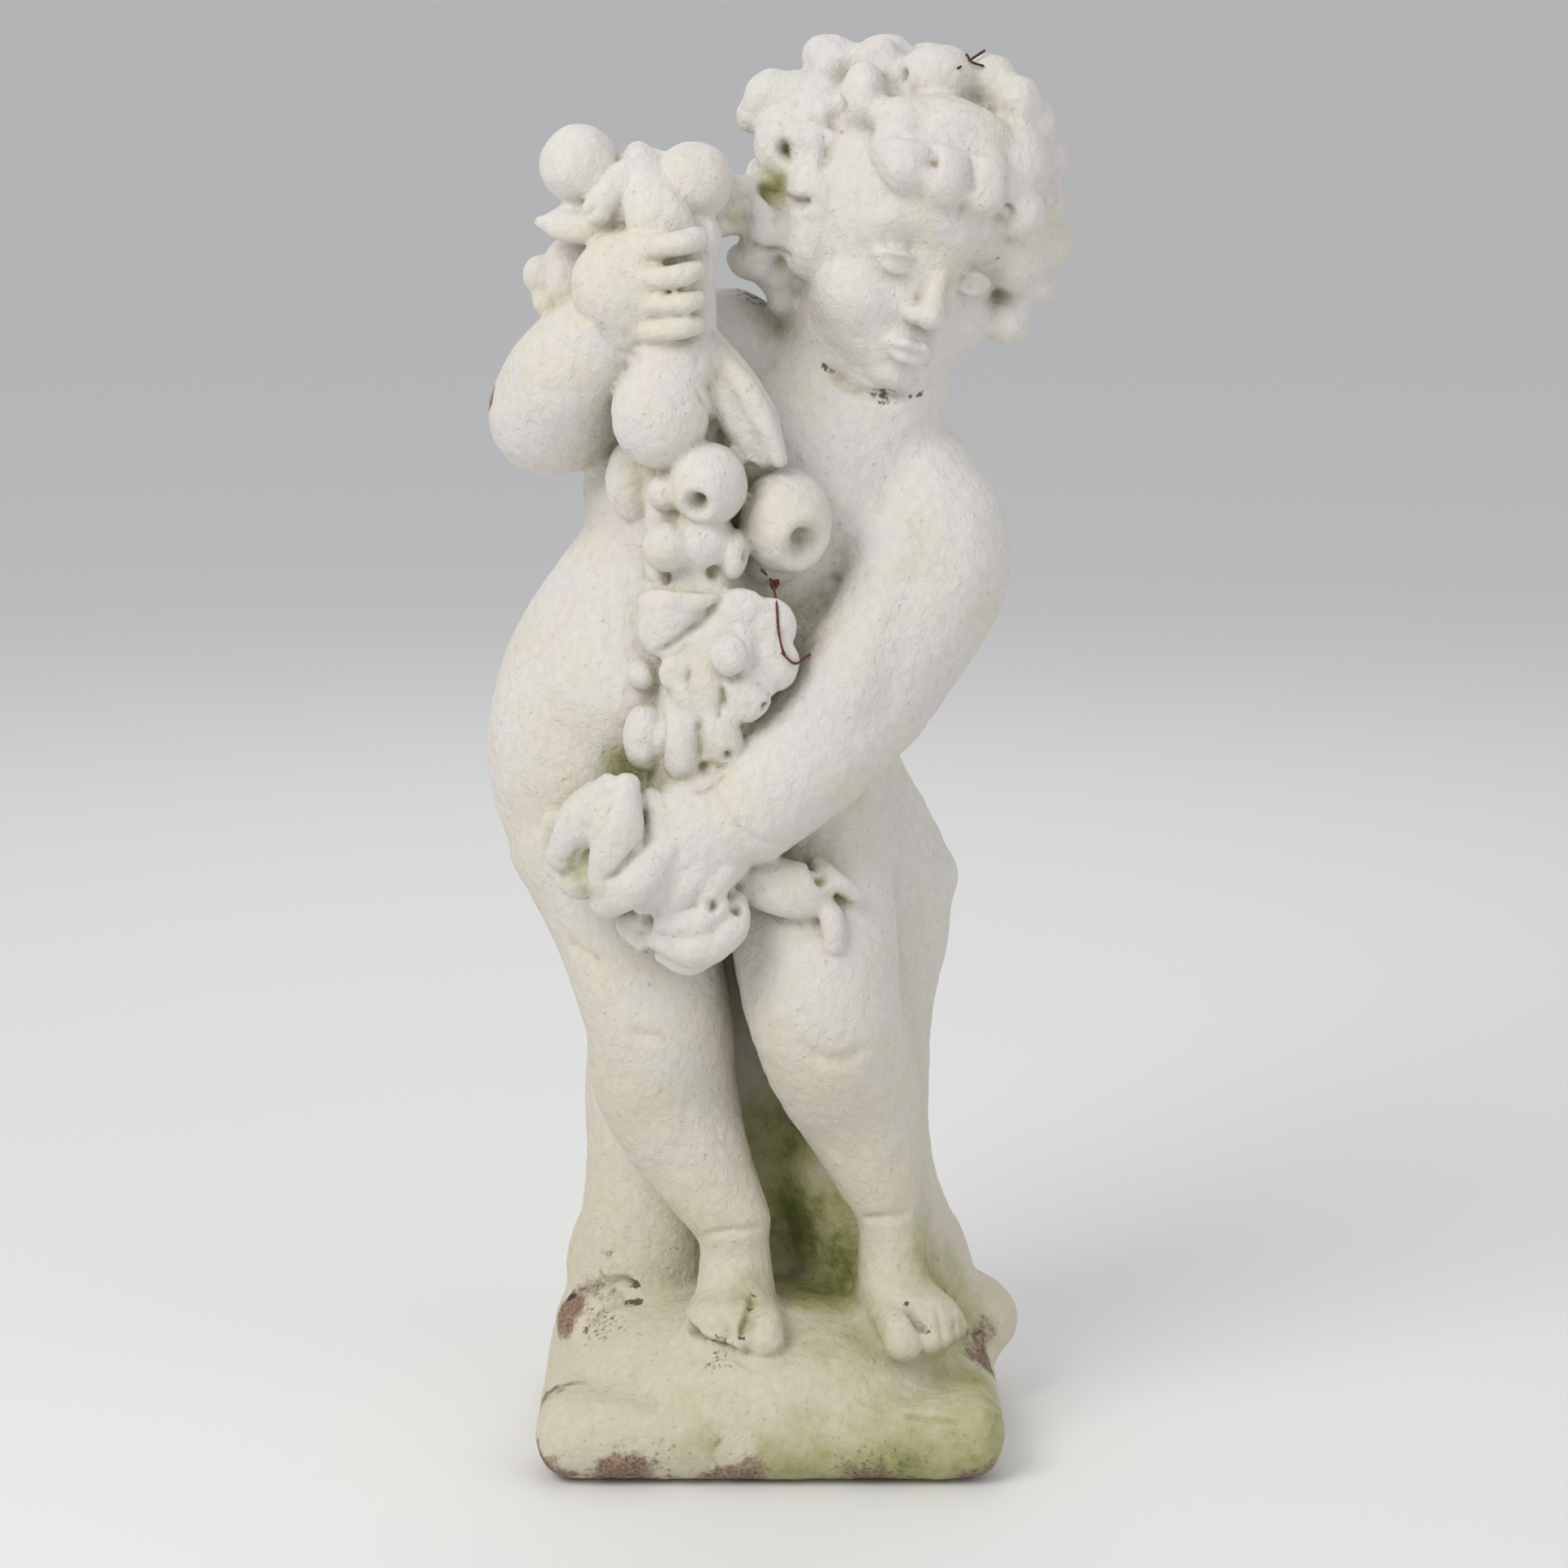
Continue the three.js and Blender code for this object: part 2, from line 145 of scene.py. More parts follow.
# An egg of stone at its place: it leans about Y, then turns about Z, in degrees.
def lump(pile, place, size, lean=0, turn=0, shape=None, within=None, fine=False):
    kind = "fineBall" if fine else "ball"
    points = templatePoints[kind].copy()
    if shape:
        points = shape(points)
    turned = np.array(rotation(turn, "Z") @ rotation(lean, "Y"))
    points = (points * np.array(size)) @ turned.T + np.array(place, dtype=float)
    press(pile, kind, within(points) if within else points)


# Places on a smooth path through the stations, at shares of its length in spans.
def alongPath(stations, shares):
    values = np.asarray(stations, dtype=float)
    padded = np.vstack([2 * values[0] - values[1], values, 2 * values[-1] - values[-2]])
    spans = len(values) - 1
    reach = np.clip(shares * spans, 0, spans - 1e-9)
    i = reach.astype(int)
    t = (reach - i)[:, None]
    a, b, c, d = padded[i], padded[i + 1], padded[i + 2], padded[i + 3]
    square = (2 * a - 5 * b + 4 * c - d) * t**2
    cube = (3 * b - a - 3 * c + d) * t**3
    return 0.5 * (2 * b + (c - a) * t + square + cube)


# A limb through stations of (x, y, z, radius), round at both ends.
def tube(pile, stations, depth=1.0, front=(0, -1, 0), within=None):
    cap = rod["capRings"]
    shares = np.clip((rodRing - cap) / (rod["rings"] - 2 * cap), 0, 1)
    path = alongPath(stations, shares)
    onward = normalised(
        alongPath(stations, np.clip(shares + 0.01, 0, 1))[:, :3]
        - alongPath(stations, np.clip(shares - 0.01, 0, 1))[:, :3]
    )
    quarter = np.zeros(len(rodRing))
    first = rodRing < cap
    last = rodRing > rod["rings"] - cap
    quarter[first] = (1 - rodRing[first] / cap) * math.pi / 2
    quarter[last] = (rodRing[last] - rod["rings"] + cap) / cap * math.pi / 2
    beyond = path[:, 3] * np.sin(quarter) * np.where(first, -1, 1) * depth
    radius = path[:, 3] * np.cos(quarter)
    front = np.array(front, dtype=float)
    facing = normalised(front - (onward @ front)[:, None] * onward)
    across = np.cross(onward, facing)
    points = path[:, :3] + beyond[:, None] * onward
    points += (radius * np.cos(rodAngle))[:, None] * across
    points += (depth * radius * np.sin(rodAngle))[:, None] * facing
    press(pile, "rod", within(points) if within else points)


# A blade that narrows to its tip and folds along its middle, in shares of its own size.
def blade(taper, fold=0.0):
    def shape(points):
        along = (points[:, 2] + 1) / 2
        side = points[:, 0].copy()
        points[:, 0] *= 1 - taper * along
        points[:, 1] += fold * np.abs(side)
        return points

    return shape


# A round fruit or cup with a hollow on the side that it shows.
def hollowed(towards, depth, width, lip=0.0):
    towards = normalised(towards)

    def shape(points):
        away = np.arccos(np.clip(points @ towards, -1, 1)) / math.radians(width)
        reach = 1 - depth * np.exp(-(away**4)) + lip * np.exp(-(((away - 1.5) / 0.6) ** 2))
        return points * reach[:, None]

    return shape


def newPile(name):
    return {"name": name, "pieces": []}


def applyModifier(piece, kind, **settings):
    modifier = piece.modifiers.new(kind.lower(), kind)
    for name, value in settings.items():
        setattr(modifier, name, value)
    bpy.ops.object.select_all(action="DESELECT")
    piece.select_set(True)
    bpy.context.view_layer.objects.active = piece
    bpy.ops.object.modifier_apply(modifier=modifier.name)


def joinPile(pile):
    bpy.ops.object.select_all(action="DESELECT")
    for piece in pile["pieces"]:
        piece.select_set(True)
    bpy.context.view_layer.objects.active = pile["pieces"][0]
    bpy.ops.object.join()
    joined = bpy.context.object
    joined.name = pile["name"]
    pile["pieces"] = [joined]
    return joined


# Overlapping pieces become one skin, softened where they meet.
def blendPile(piece, stage):
    applyModifier(piece, "REMESH", mode="VOXEL", voxel_size=statue[stage + "Voxel"] * unit)
    applyModifier(piece, "SMOOTH", factor=0.5, iterations=statue[stage + "Smoothing"])


# Small cuts and swellings, made by moving points as a rasp and a brush loaded with paint would.
def inMillimetres(mesh):
    return (readPoints(mesh) - standing) / unit


def readNormals(mesh):
    flat = np.empty(3 * len(mesh.vertices), dtype=np.float32)
    mesh.vertex_normals.foreach_get("vector", flat)
    return flat.reshape(-1, 3).astype(float)


surface = {}


def takeUp(piece):
    surface["points"] = inMillimetres(piece.data)
    surface["normals"] = readNormals(piece.data)


def putDown(piece):
    writePoints(piece.data, standing + unit * surface["points"])


# The skin of the statue at x and z, seen from the front.
def skinAt(x, z):
    points = surface["points"]
    for reach in (1.6, 3.2, 6.4):
        near = (np.abs(points[:, 0] - x) < reach) & (np.abs(points[:, 2] - z) < reach)
        if near.any():
            return np.array((x, points[near, 1].min(), z))
    return None


def swell(place, radius, height):
    if len(place) == 2:
        place = skinAt(*place)
    if place is None:
        return
    points = surface["points"]
    away = np.linalg.norm((points - np.array(place)) / np.array(radius), axis=1)
    reach = away < 2.6
    push = height * np.exp(-(away[reach] ** 2))
    points[reach] += push[:, None] * surface["normals"][reach]


# A line cut along stations of (x, z) or (x, y, z), fading at its ends, with a lip thrown up beside it.
def cutLine(stations, width, depth, lip=0.0):
    placed = [skinAt(*spot) if len(spot) == 2 else np.array(spot, dtype=float) for spot in stations]
    placed = np.array([spot for spot in placed if spot is not None])
    if len(placed) < 2:
        return
    steps = 6 * len(placed)
    line = alongPath(placed, np.linspace(0, 1, steps))
    points = surface["points"]
    margin = 4 * width
    above = points > line.min(axis=0) - margin
    below = points < line.max(axis=0) + margin
    inside = np.all(above & below, axis=1)
    chosen = np.flatnonzero(inside)
    near = points[chosen]
    best = np.full(len(chosen), 1e9)
    share = np.zeros(len(chosen))
    for i in range(steps - 1):
        start, step = line[i], line[i + 1] - line[i]
        along = np.clip((near - start) @ step / max(step @ step, 1e-9), 0, 1)
        away = np.linalg.norm(near - start - along[:, None] * step, axis=1)
        closer = away < best
        best[closer] = away[closer]
        share[closer] = (i + along[closer]) / (steps - 1)
    ends = np.minimum(1, 5 * np.minimum(share, 1 - share) + 0.15)
    thrownUp = lip * np.exp(-(((best - 1.9 * width) / width) ** 2))
    cut = -depth * np.exp(-((best / width) ** 2)) + thrownUp
    points[chosen] += (cut * ends)[:, None] * surface["normals"][chosen]


def dot(place, radius, depth):
    swell(place, radius, -depth)


# trunk, limbs and the mass of the head, blended like clay

body = {
    "neck": (60, 5, 612, 43),
    "throat": (50, 6, 574, 44),
    "rightShoulder": (-26, 14, 624, 39),
    "rightUpperArm": (-74, -2, 610, 37),
    "rightElbow": (-121, -26, 595, 35),
    "rightForearm": (-106, -46, 622, 34),
    "rightWrist": (-84, -62, 646, 26),
    "leftShoulder": (80, 2, 552, 38),
    "leftUpperArm": (89, -14, 510, 46),
    "leftElbow": (54, -36, 441, 39),
    "leftForearm": (14, -60, 406, 38),
    "leftWrist": (-12, -78, 382, 31),
    "rightHip": (-90, 2, 352, 60),
    "rightThigh": (-77, -10, 304, 47),
    "rightKnee": (-64, -20, 256, 43),
    "rightCalf": (-59, -10, 206, 41),
    "rightShin": (-38, -18, 160, 30),
    "rightAnkle": (-22, -24, 132, 23),
    "leftHip": (14, -2, 350, 52),
    "leftThigh": (24, -28, 307, 48),
    "leftKnee": (30, -46, 262, 44),
    "leftCalf": (47, -22, 208, 40),
    "leftShin": (60, -22, 164, 27),
    "leftAnkle": (68, -22, 136, 19),
}


def limbOf(pile, *joints, **settings):
    tube(pile, [body[joint] for joint in joints], **settings)


def addTrunk(pile):
    spine = [
        (-50, 8, 350, 80),
        (-64, 2, 392, 96),
        (-60, -4, 440, 90),
        (-26, 0, 508, 76),
        (14, 4, 556, 84),
        (40, 4, 586, 66),
    ]
    tube(pile, spine, depth=0.66)
    lump(pile, (-58, -14, 440), (82, 60, 70), lean=12)
    lump(pile, (-20, -6, 532), (76, 58, 66), lean=15)
    lump(pile, (26, 0, 474), (52, 40, 64), lean=20)
    lump(pile, (-70, 2, 548), (35, 40, 40))
    lump(pile, (-88, 24, 366), (64, 56, 62))
    lump(pile, (4, 22, 372), (60, 54, 58))
    limbOf(pile, "neck", "throat")


def addLimbs(pile):
    limbOf(pile, "rightShoulder", "rightUpperArm", "rightElbow", front=(0, 0, 1))
    limbOf(pile, "rightElbow", "rightForearm", "rightWrist")
    limbOf(pile, "leftShoulder", "leftUpperArm", "leftElbow")
    tube(pile, [(72, -30, 515, 33), (56, -44, 478, 28), (36, -56, 442, 32)])  # flesh in the bend
    limbOf(pile, "leftElbow", "leftForearm", "leftWrist")
    limbOf(pile, "rightHip", "rightThigh", "rightKnee", "rightCalf", "rightShin", "rightAnkle")
    limbOf(pile, "leftHip", "leftThigh", "leftKnee", "leftCalf", "leftShin", "leftAnkle")


# A foot that points the way of heading, in degrees from -Y towards +X. side is 1 where the big toe
# is on the +X side, and -1 where it is on the -X side.
feet = {
    "right": {"heel": (-20, -24), "heading": 3, "side": 1, "ground": 73},
    "left": {"heel": (70, -22), "heading": 22, "side": -1, "ground": 72},
}


def footSpot(foot, forward, sideways, up):
    heading = math.radians(foot["heading"])
    onward = np.array((math.sin(heading), -math.cos(heading), 0))
    across = np.array((math.cos(heading), math.sin(heading), 0)) * foot["side"]
    return np.array((*foot["heel"], foot["ground"] + up)) + forward * onward + sideways * across


def addFoot(pile, foot):
    spots = ((-14, 0, 16, 19), (12, -1, 14, 23), (32, -4, 6, 28))
    sole = [(*footSpot(foot, f, s, u), r) for f, s, u, r in spots]
    tube(pile, sole, depth=0.72, front=(0, 0, 1))
    ankle = [(*footSpot(foot, f, 0, u), r) for f, u, r in ((0, 56, 19), (0, 34, 21), (8, 16, 23))]
    tube(pile, ankle)


# From the big toe outwards: sideways, reach, radius.
toes = [(14.5, 50, 11), (-1, 51, 7.6), (-9.5, 48, 7), (-17.5, 43, 6.6), (-24.5, 36, 6.2)]


def addToes(pile, foot):
    for sideways, reach, radius in toes:
        bend = [
            (*footSpot(foot, reach - 26, 0.85 * sideways, 11), radius),
            (*footSpot(foot, reach - 9, sideways, 9), radius),
            (*footSpot(foot, reach, 1.02 * sideways, 3), 0.96 * radius),
        ]
        tube(pile, bend, front=(0, 0, 1))


flesh = newPile("flesh")
addTrunk(flesh)
addLimbs(flesh)
for foot in feet.values():
    addFoot(flesh, foot)


# head

skull = {"place": (75, 4, 708), "size": (67, 74, 70), "tip": 10, "lean": 17, "turn": 25}
headTurn = np.array(
    rotation(skull["lean"], "Y") @ rotation(skull["turn"], "Z") @ rotation(skull["tip"], "X")
)


# From the head's own frame, which faces -Y with its middle at the skull's, to the statue's.
def onHead(points):
    return np.asarray(points, dtype=float) @ headTurn.T + np.array(skull["place"], dtype=float)


def addHeadMass(pile):
    lump(pile, (0, 0, 0), skull["size"], within=onHead)
    lump(pile, (0, -25, 10), (55, 50, 50), within=onHead)
    lump(pile, (0, -22, -36), (55, 46, 48), within=onHead)
    lump(pile, (0, -34, -58), (45, 34, 32), within=onHead)
    lump(pile, (0, -50, -72), (22, 18, 18), within=onHead)
    for side in (-1, 1):
        lump(pile, (26 * side, -40, -45), (27, 25, 27), within=onHead)
        brow = [(8, -62, -2, 7), (22, -62, 4, 8), (38, -54, 0, 8)]
        tube(pile, [(x * side, y, z, r) for x, y, z, r in brow], within=onHead)
    # the neck, full below the jaw
    tube(pile, [(44, -8, 656, 30), (40, -4, 628, 30), (40, 0, 600, 34)])


# The eye is a ball with two lids lying on it.
eye = {"place": (23, -50, -17), "radius": 13.5, "upper": 20, "lower": 24, "lid": 2.3}


def lidPath(side, rise, thick):
    x, y, z = eye["place"]
    reach = eye["radius"] + 0.6
    stations = []
    for i in range(7):
        swing = math.radians(-62 + 124 * i / 6)
        lift = math.radians(rise * math.cos(1.35 * swing))
        place = (
            side * (x + reach * math.sin(swing) * math.cos(lift)),
            y - reach * math.cos(swing) * math.cos(lift),
            z + reach * math.sin(lift),
        )
        stations.append((*place, thick * (0.6 + 0.4 * math.cos(swing))))
    return stations


def addFace(pile):
    lump(pile, (0, -57, -59), (22, 14, 15), within=onHead)
    lump(pile, (0, -58, -79), (14, 11, 10), within=onHead)
    tube(pile, [(0, -62, -8, 6), (0, -68, -24, 6), (0, -75, -38, 8.2)], within=onHead)
    for side in (-1, 1):
        lump(pile, (7.5 * side, -69, -41), (6, 7, 5.4), within=onHead)
        x, y, z = eye["place"]
        lump(pile, (x * side, y, z), (eye["radius"],) * 3, within=onHead)
        tube(pile, lidPath(side, eye["upper"], eye["lid"]), within=onHead)
        tube(pile, lidPath(side, -eye["lower"], 0.8 * eye["lid"]), within=onHead)
        upperLip = [
            (1, -72.5, -58, 2.6),
            (6, -72, -57.5, 3.2),
            (12, -68, -60, 2.4),
            (16, -64, -62, 1.4),
        ]
        tube(pile, [(px * side, py, pz, r) for px, py, pz, r in upperLip], within=onHead)
        lowerLip = [(0, -71, -65.5, 3.8), (6, -70, -65.5, 3.8), (12, -66, -63.5, 2.2)]
        tube(pile, [(px * side, py, pz, r) for px, py, pz, r in lowerLip], within=onHead)


addHeadMass(flesh)


# base block and the rock behind the legs

block = {"width": 264, "depth": 216, "height": 47, "corner": 22, "edge": 8}


def addBlock(pile):
    bpy.ops.object.select_all(action="DESELECT")
    bpy.ops.mesh.primitive_cube_add(size=1)
    cube = bpy.context.object
    bpy.ops.object.mode_set(mode="EDIT")
    bpy.ops.transform.resize(value=(block["width"], block["depth"], block["height"]))
    bpy.ops.mesh.select_all(action="DESELECT")
    bpy.ops.object.mode_set(mode="OBJECT")
    for edge in cube.data.edges:
        a, b = (cube.data.vertices[i].co for i in edge.vertices)
        edge.select = abs(a.z - b.z) > 1
    bpy.ops.object.mode_set(mode="EDIT")
    bpy.ops.mesh.bevel(offset=block["corner"], segments=6)
    bpy.ops.mesh.select_all(action="SELECT")
    bpy.ops.object.mode_set(mode="OBJECT")
    for edge in cube.data.edges:
        a, b = (cube.data.vertices[i].co for i in edge.vertices)
        edge.select = a.z > 0 and b.z > 0
    for face in cube.data.polygons:
        face.select = face.normal.z > 0.9
    bpy.ops.object.mode_set(mode="EDIT")
    bpy.ops.mesh.bevel(offset=block["edge"], segments=4)
    bpy.ops.object.mode_set(mode="OBJECT")
    points = readPoints(cube.data) + np.array((0, 0, block["height"] / 2))
    writePoints(cube.data, standing + unit * points)
    pile["pieces"].append(cube)


def addRock(pile):
    tube(pile, [(-70, 50, 70, 48), (-62, 46, 140, 47), (-62, 46, 210, 46), (-48, 48, 310, 46)])
    leftStump = [(72, 50, 70, 50), (51, 44, 140, 46), (48, 46, 230, 46), (58, 50, 310, 48)]
    tube(pile, [*leftStump, (38, 50, 366, 44)])
    lump(pile, (-4, 62, 200), (72, 38, 168))
    lump(pile, (0, -2, 38), (120, 104, 46))
    lump(pile, (106, 48, 50), (42, 44, 28))
    lump(pile, (74, 58, 76), (46, 36, 52))
    lump(pile, (-76, 56, 74), (46, 44, 66))
    lump(pile, (-84, 36, 50), (44, 60, 34))


addBlock(flesh)
addRock(flesh)
figure = joinPile(flesh)
blendPile(figure, "flesh")
applyModifier(figure, "SUBSURF", levels=1, render_levels=1)
takeUp(figure)
for side in (-1, 1):
    swell(onHead((23 * side, -66, -14)), 17, -9)
putDown(figure)
print("figure blended:", len(figure.data.vertices), "points")


# hair

carving = newPile("carving")


# A lock wound in on itself: sweep and start in degrees, drop as the share of the radius lost.
ringlet = {"stations": 9, "sweep": 330, "drop": 0.6, "rise": 4, "thinning": 0.25}


def curlRing(pile, centre, radius, thick, facing, start):
    facing = normalised(facing)
    across = normalised(np.cross(facing, (0, 0, 1)))
    upward = np.cross(across, facing)
    stations = []
    for i in range(ringlet["stations"]):
        share = i / (ringlet["stations"] - 1)
        angle = math.radians(start + ringlet["sweep"] * share)
        reach = radius * (1 - ringlet["drop"] * share)
        place = np.array(centre) + reach * (math.cos(angle) * across + math.sin(angle) * upward)
        place = place + facing * ringlet["rise"] * share
        stations.append((*place, thick * (1 - ringlet["thinning"] * share)))
    tube(pile, stations, front=tuple(facing))


def addHair(pile):
    # the mass under the curls
    lump(pile, (0, 12, 12), (71, 73, 69), within=onHead)
    lump(pile, (30, -26, 748), (17, 20, 26))
    lump(pile, (26, -34, 716), (17, 18, 24))
    lump(pile, (22, -34, 690), (15, 16, 22))
    lump(pile, (100, -48, 748), (34, 20, 20), lean=18)
    lump(pile, (132, -34, 730), (22, 24, 26))
    lump(pile, (136, -18, 694), (20, 24, 34))
    # the side by the garland: a snail curl and the long locks round it
    lump(pile, (10, -26, 741), (19, 16, 22))
    lump(pile, (0, -12, 769), (15, 17, 13), lean=-30)
    lump(pile, (-9, -8, 757), (10, 15, 11))
    lump(pile, (14, -12, 768), (16, 18, 13), lean=-20)
    lump(pile, (-4, -26, 701), (18, 16, 22), lean=-20, shape=blade(taper=0.45))
    lump(pile, (-9, -18, 678), (16, 15, 11), lean=16)
    lump(pile, (5, -12, 668), (13, 15, 10))
    lump(pile, (7, -10, 656), (9, 12, 9))
    lump(pile, (20, 0, 650), (16, 16, 20))
    lump(pile, (12, -10, 676), (14, 16, 14))
    # the crown
    lump(pile, (36, 0, 786), (19, 18, 14), lean=20)
    lump(pile, (50, -38, 768), (13, 18, 20), lean=10)
    lump(pile, (64, 12, 786), (18, 20, 15))
    lump(pile, (90, -26, 777), (22, 18, 18))
    lump(pile, (94, 10, 782), (18, 20, 14))
    lump(pile, (120, -12, 774), (17, 18, 17))
    lump(pile, (134, -26, 764), (15, 18, 16))
    lump(pile, (72, -52, 757), (17, 14, 12))
    lump(pile, (100, -54, 754), (16, 14, 12))
    # the roll over the forehead, in four lobes
    tube(pile, [(66, -58, 740, 13), (84, -64, 734, 15), (108, -62, 728, 15), (132, -50, 716, 13)])
    lump(pile, (73, -68, 734), (15, 14, 18), lean=-6)
    lump(pile, (94, -70, 728), (13, 14, 19))
    lump(pile, (116, -64, 722), (14, 14, 19), lean=6)
    lump(pile, (137, -50, 706), (13, 14, 15), lean=12)
    # the side towards the left shoulder
    lump(pile, (144, -18, 751), (14, 18, 16))
    lump(pile, (152, -12, 733), (13, 18, 14))
    lump(pile, (151, -10, 711), (14, 18, 15))
    lump(pile, (154, -8, 688), (13, 18, 15), lean=-8)
    lump(pile, (144, -8, 665), (15, 18, 12), lean=16)
    lump(pile, (131, -10, 645), (14, 15, 14), lean=14)


def outOfSkull(bearing, height, out):
    b, h = math.radians(bearing), math.radians(height)
    direction = np.array((math.cos(h) * math.sin(b), -math.cos(h) * math.cos(b), math.sin(h)))
    return direction * (np.array(skull["size"]) + out)


# Behind, the curls are plainer, in staggered rows down to the nape: height, first and last bearing
# in degrees, and count.
backCurls = [
    (58, 130, 250, 4),
    (34, 104, 256, 6),
    (10, 98, 262, 7),
    (-14, 102, 262, 7),
    (-38, 112, 250, 6),
    (-58, 135, 225, 4),
]


def addBackCurls(pile):
    for r, (height, first, last, count) in enumerate(backCurls):
        for i in range(count):
            bearing = first + (last - first) * i / (count - 1)
            spread = 16 + 2 * math.sin(2.6 * i + 1.9 * r)
            place = outOfSkull(bearing, height, 4)
            lump(pile, place, (spread, spread, spread - 2), turn=bearing, within=onHead)
            ringPlace = onHead(outOfSkull(bearing, height, 16))
            outward = ringPlace - np.array(skull["place"])
            curlRing(pile, ringPlace, 0.55 * spread, 0.34 * spread, outward, start=90 * (i + r))


curls = newPile("curls")
addHair(curls)
addBackCurls(curls)
curls["pieces"].append(figure)
figure = joinPile(curls)
blendPile(figure, "curl")
print("hair laid:", len(figure.data.vertices), "points")
addFace(carving)
for foot in feet.values():
    addToes(carving, foot)


# hands

def addHands(pile):
    # the right hand, a fist round the stem
    lump(pile, (-74, -74, 668), (32, 22, 31), lean=16, fine=True)
    lump(pile, (-86, -60, 650), (22, 21, 24), lean=30)
    tube(pile, [(-74, -80, 690, 9), (-60, -90, 690, 7.6), (-46, -96, 693, 7.2), (-38, -92, 695, 7)])
    tube(pile, [(-74, -82, 675, 8), (-60, -93, 674, 6.8), (-47, -98, 676, 6.4), (-39, -94, 678, 6)])
    tube(pile, [(-72, -82, 661, 8), (-58, -93, 660, 6), (-46, -97, 661, 5.8), (-39, -94, 663, 5.4)])
    tube(pile, [(-70, -82, 647, 8), (-58, -91, 646, 6.4), (-46, -95, 648, 6), (-39, -91, 649, 5.6)])
    # the left hand, its back towards the front, the fingers bent under the bud
    lump(pile, (-40, -84, 368), (34, 22, 34), lean=35, fine=True)
    lump(pile, (-18, -80, 384), (26, 24, 26))
    tube(pile, [(-46, -94, 362, 12), (-60, -99, 346, 9.5), (-68, -96, 336, 8.4)])
    tube(pile, [(-38, -94, 356, 12), (-46, -98, 344, 9.5), (-54, -96, 334, 8.4)])
    tube(pile, [(-26, -92, 352, 11), (-32, -96, 342, 8.5), (-38, -94, 332, 7.5)])


addHands(carving)


# garland

def addTopBunch(pile):
    # the stem that the hand holds, thin between the fingers and full above and below them
    tube(pile, [(-64, -54, 728, 14), (-46, -60, 700, 16), (-43, -64, 668, 14), (-44, -62, 636, 16)])
    lump(pile, (-34, -62, 692), (8, 14, 15), fine=True)
    fruit = (21.5, 21, 21.5)
    cup = hollowed((-0.3, -0.6, 0.7), 0.07, 20)
    lump(pile, (-102, -58, 732), fruit, shape=cup, fine=True)
    cup = hollowed((0.1, -0.6, 0.75), 0.07, 16)
    lump(pile, (-41, -58, 723), fruit, shape=cup, fine=True)
    lump(pile, (-70, -60, 734), (9, 11, 11))
    # the strap of leaf between the fruit, and the boat-shaped one beneath it
    tube(pile, [(-66, -62, 736, 7), (-80, -72, 724, 8), (-92, -74, 708, 9)], depth=0.8)
    boat = [(-124, -58, 702, 3), (-112, -64, 700, 8), (-98, -68, 699, 9), (-86, -68, 704, 8)]
    tube(pile, boat, depth=0.8)
    tube(pile, [(-118, -58, 704, 3), (-104, -60, 708, 7), (-92, -62, 711, 7)])
    # the broad leaf that lies over the hand
    broad = [(-66, -64, 735, 8), (-66, -72, 722, 13), (-60, -78, 706, 18), (-54, -78, 694, 17)]
    tube(pile, broad, depth=0.6)
    lump(pile, (-78, -66, 712), (12, 10, 16), lean=20)
    # the lobed leaf behind the forearm
    tube(pile, [(-62, -52, 700, 13), (-84, -46, 690, 13), (-104, -38, 680, 11)])
    lump(pile, (-104, -42, 668), (18, 11, 20))
    for x, z, radius in ((-111, 682, 10), (-124, 672, 11), (-118, 659, 12)):
        lump(pile, (x, -38, z), (radius, 8, radius), fine=True)
    # the web of stone between the fruit and the hair
    tube(pile, [(-32, -42, 718, 8), (-14, -34, 719, 7), (4, -22, 720, 10)])
    tube(pile, [(-32, -44, 700, 8), (-18, -34, 700, 7), (-4, -22, 700, 10)])
    tube(pile, [(-32, -40, 709, 9), (-16, -32, 710, 9), (0, -20, 710, 12)])


def addUpperRun(pile):
    tube(pile, [(-44, -60, 640, 16), (-44, -56, 600, 20), (-46, -58, 550, 22), (-44, -62, 500, 24)])
    # leaves folded round the stem under the hand
    lump(pile, (-52, -74, 628), (24, 18, 24), fine=True)
    # the pear-shaped fruit, and the broad leaf that twists down beside it
    lump(pile, (-58, -78, 601), (26, 23, 31), lean=4, shape=blade(taper=-0.1), fine=True)
    twisted = [(-40, -64, 640, 12), (-22, -70, 614, 16), (-8, -72, 590, 15), (-4, -73, 577, 11)]
    tube(pile, twisted, depth=0.62)
    tube(pile, [(-30, -72, 636, 5), (-12, -80, 612, 7), (1, -80, 588, 6), (5, -78, 576, 5)])
    lump(pile, (-74, -46, 562), (17, 9, 24), lean=186, shape=blade(taper=0.1), fine=True)
    # two round fruit that show the hollow of their flower end
    cup = hollowed((-0.26, -0.88, -0.4), 0.7, 17, lip=0.06)
    lump(pile, (-33, -82, 563), (21.5, 23, 23), shape=cup, fine=True)
    lump(pile, (-56, -78, 558), (11, 13, 11), fine=True)
    cup = hollowed((0.45, -0.8, -0.4), 0.5, 21, lip=0.08)
    lump(pile, (8, -63, 541), (26, 27, 29), shape=cup, fine=True)
    # a nut in its husk, and a bud by it
    lump(pile, (-38, -76, 531), (20, 20, 19), fine=True)
    lump(pile, (-55, -86, 529), (14, 14, 14), fine=True)
    lump(pile, (-19, -80, 524), (8, 12, 14), lean=6, fine=True)
    lump(pile, (0, -54, 516), (18, 14, 12))


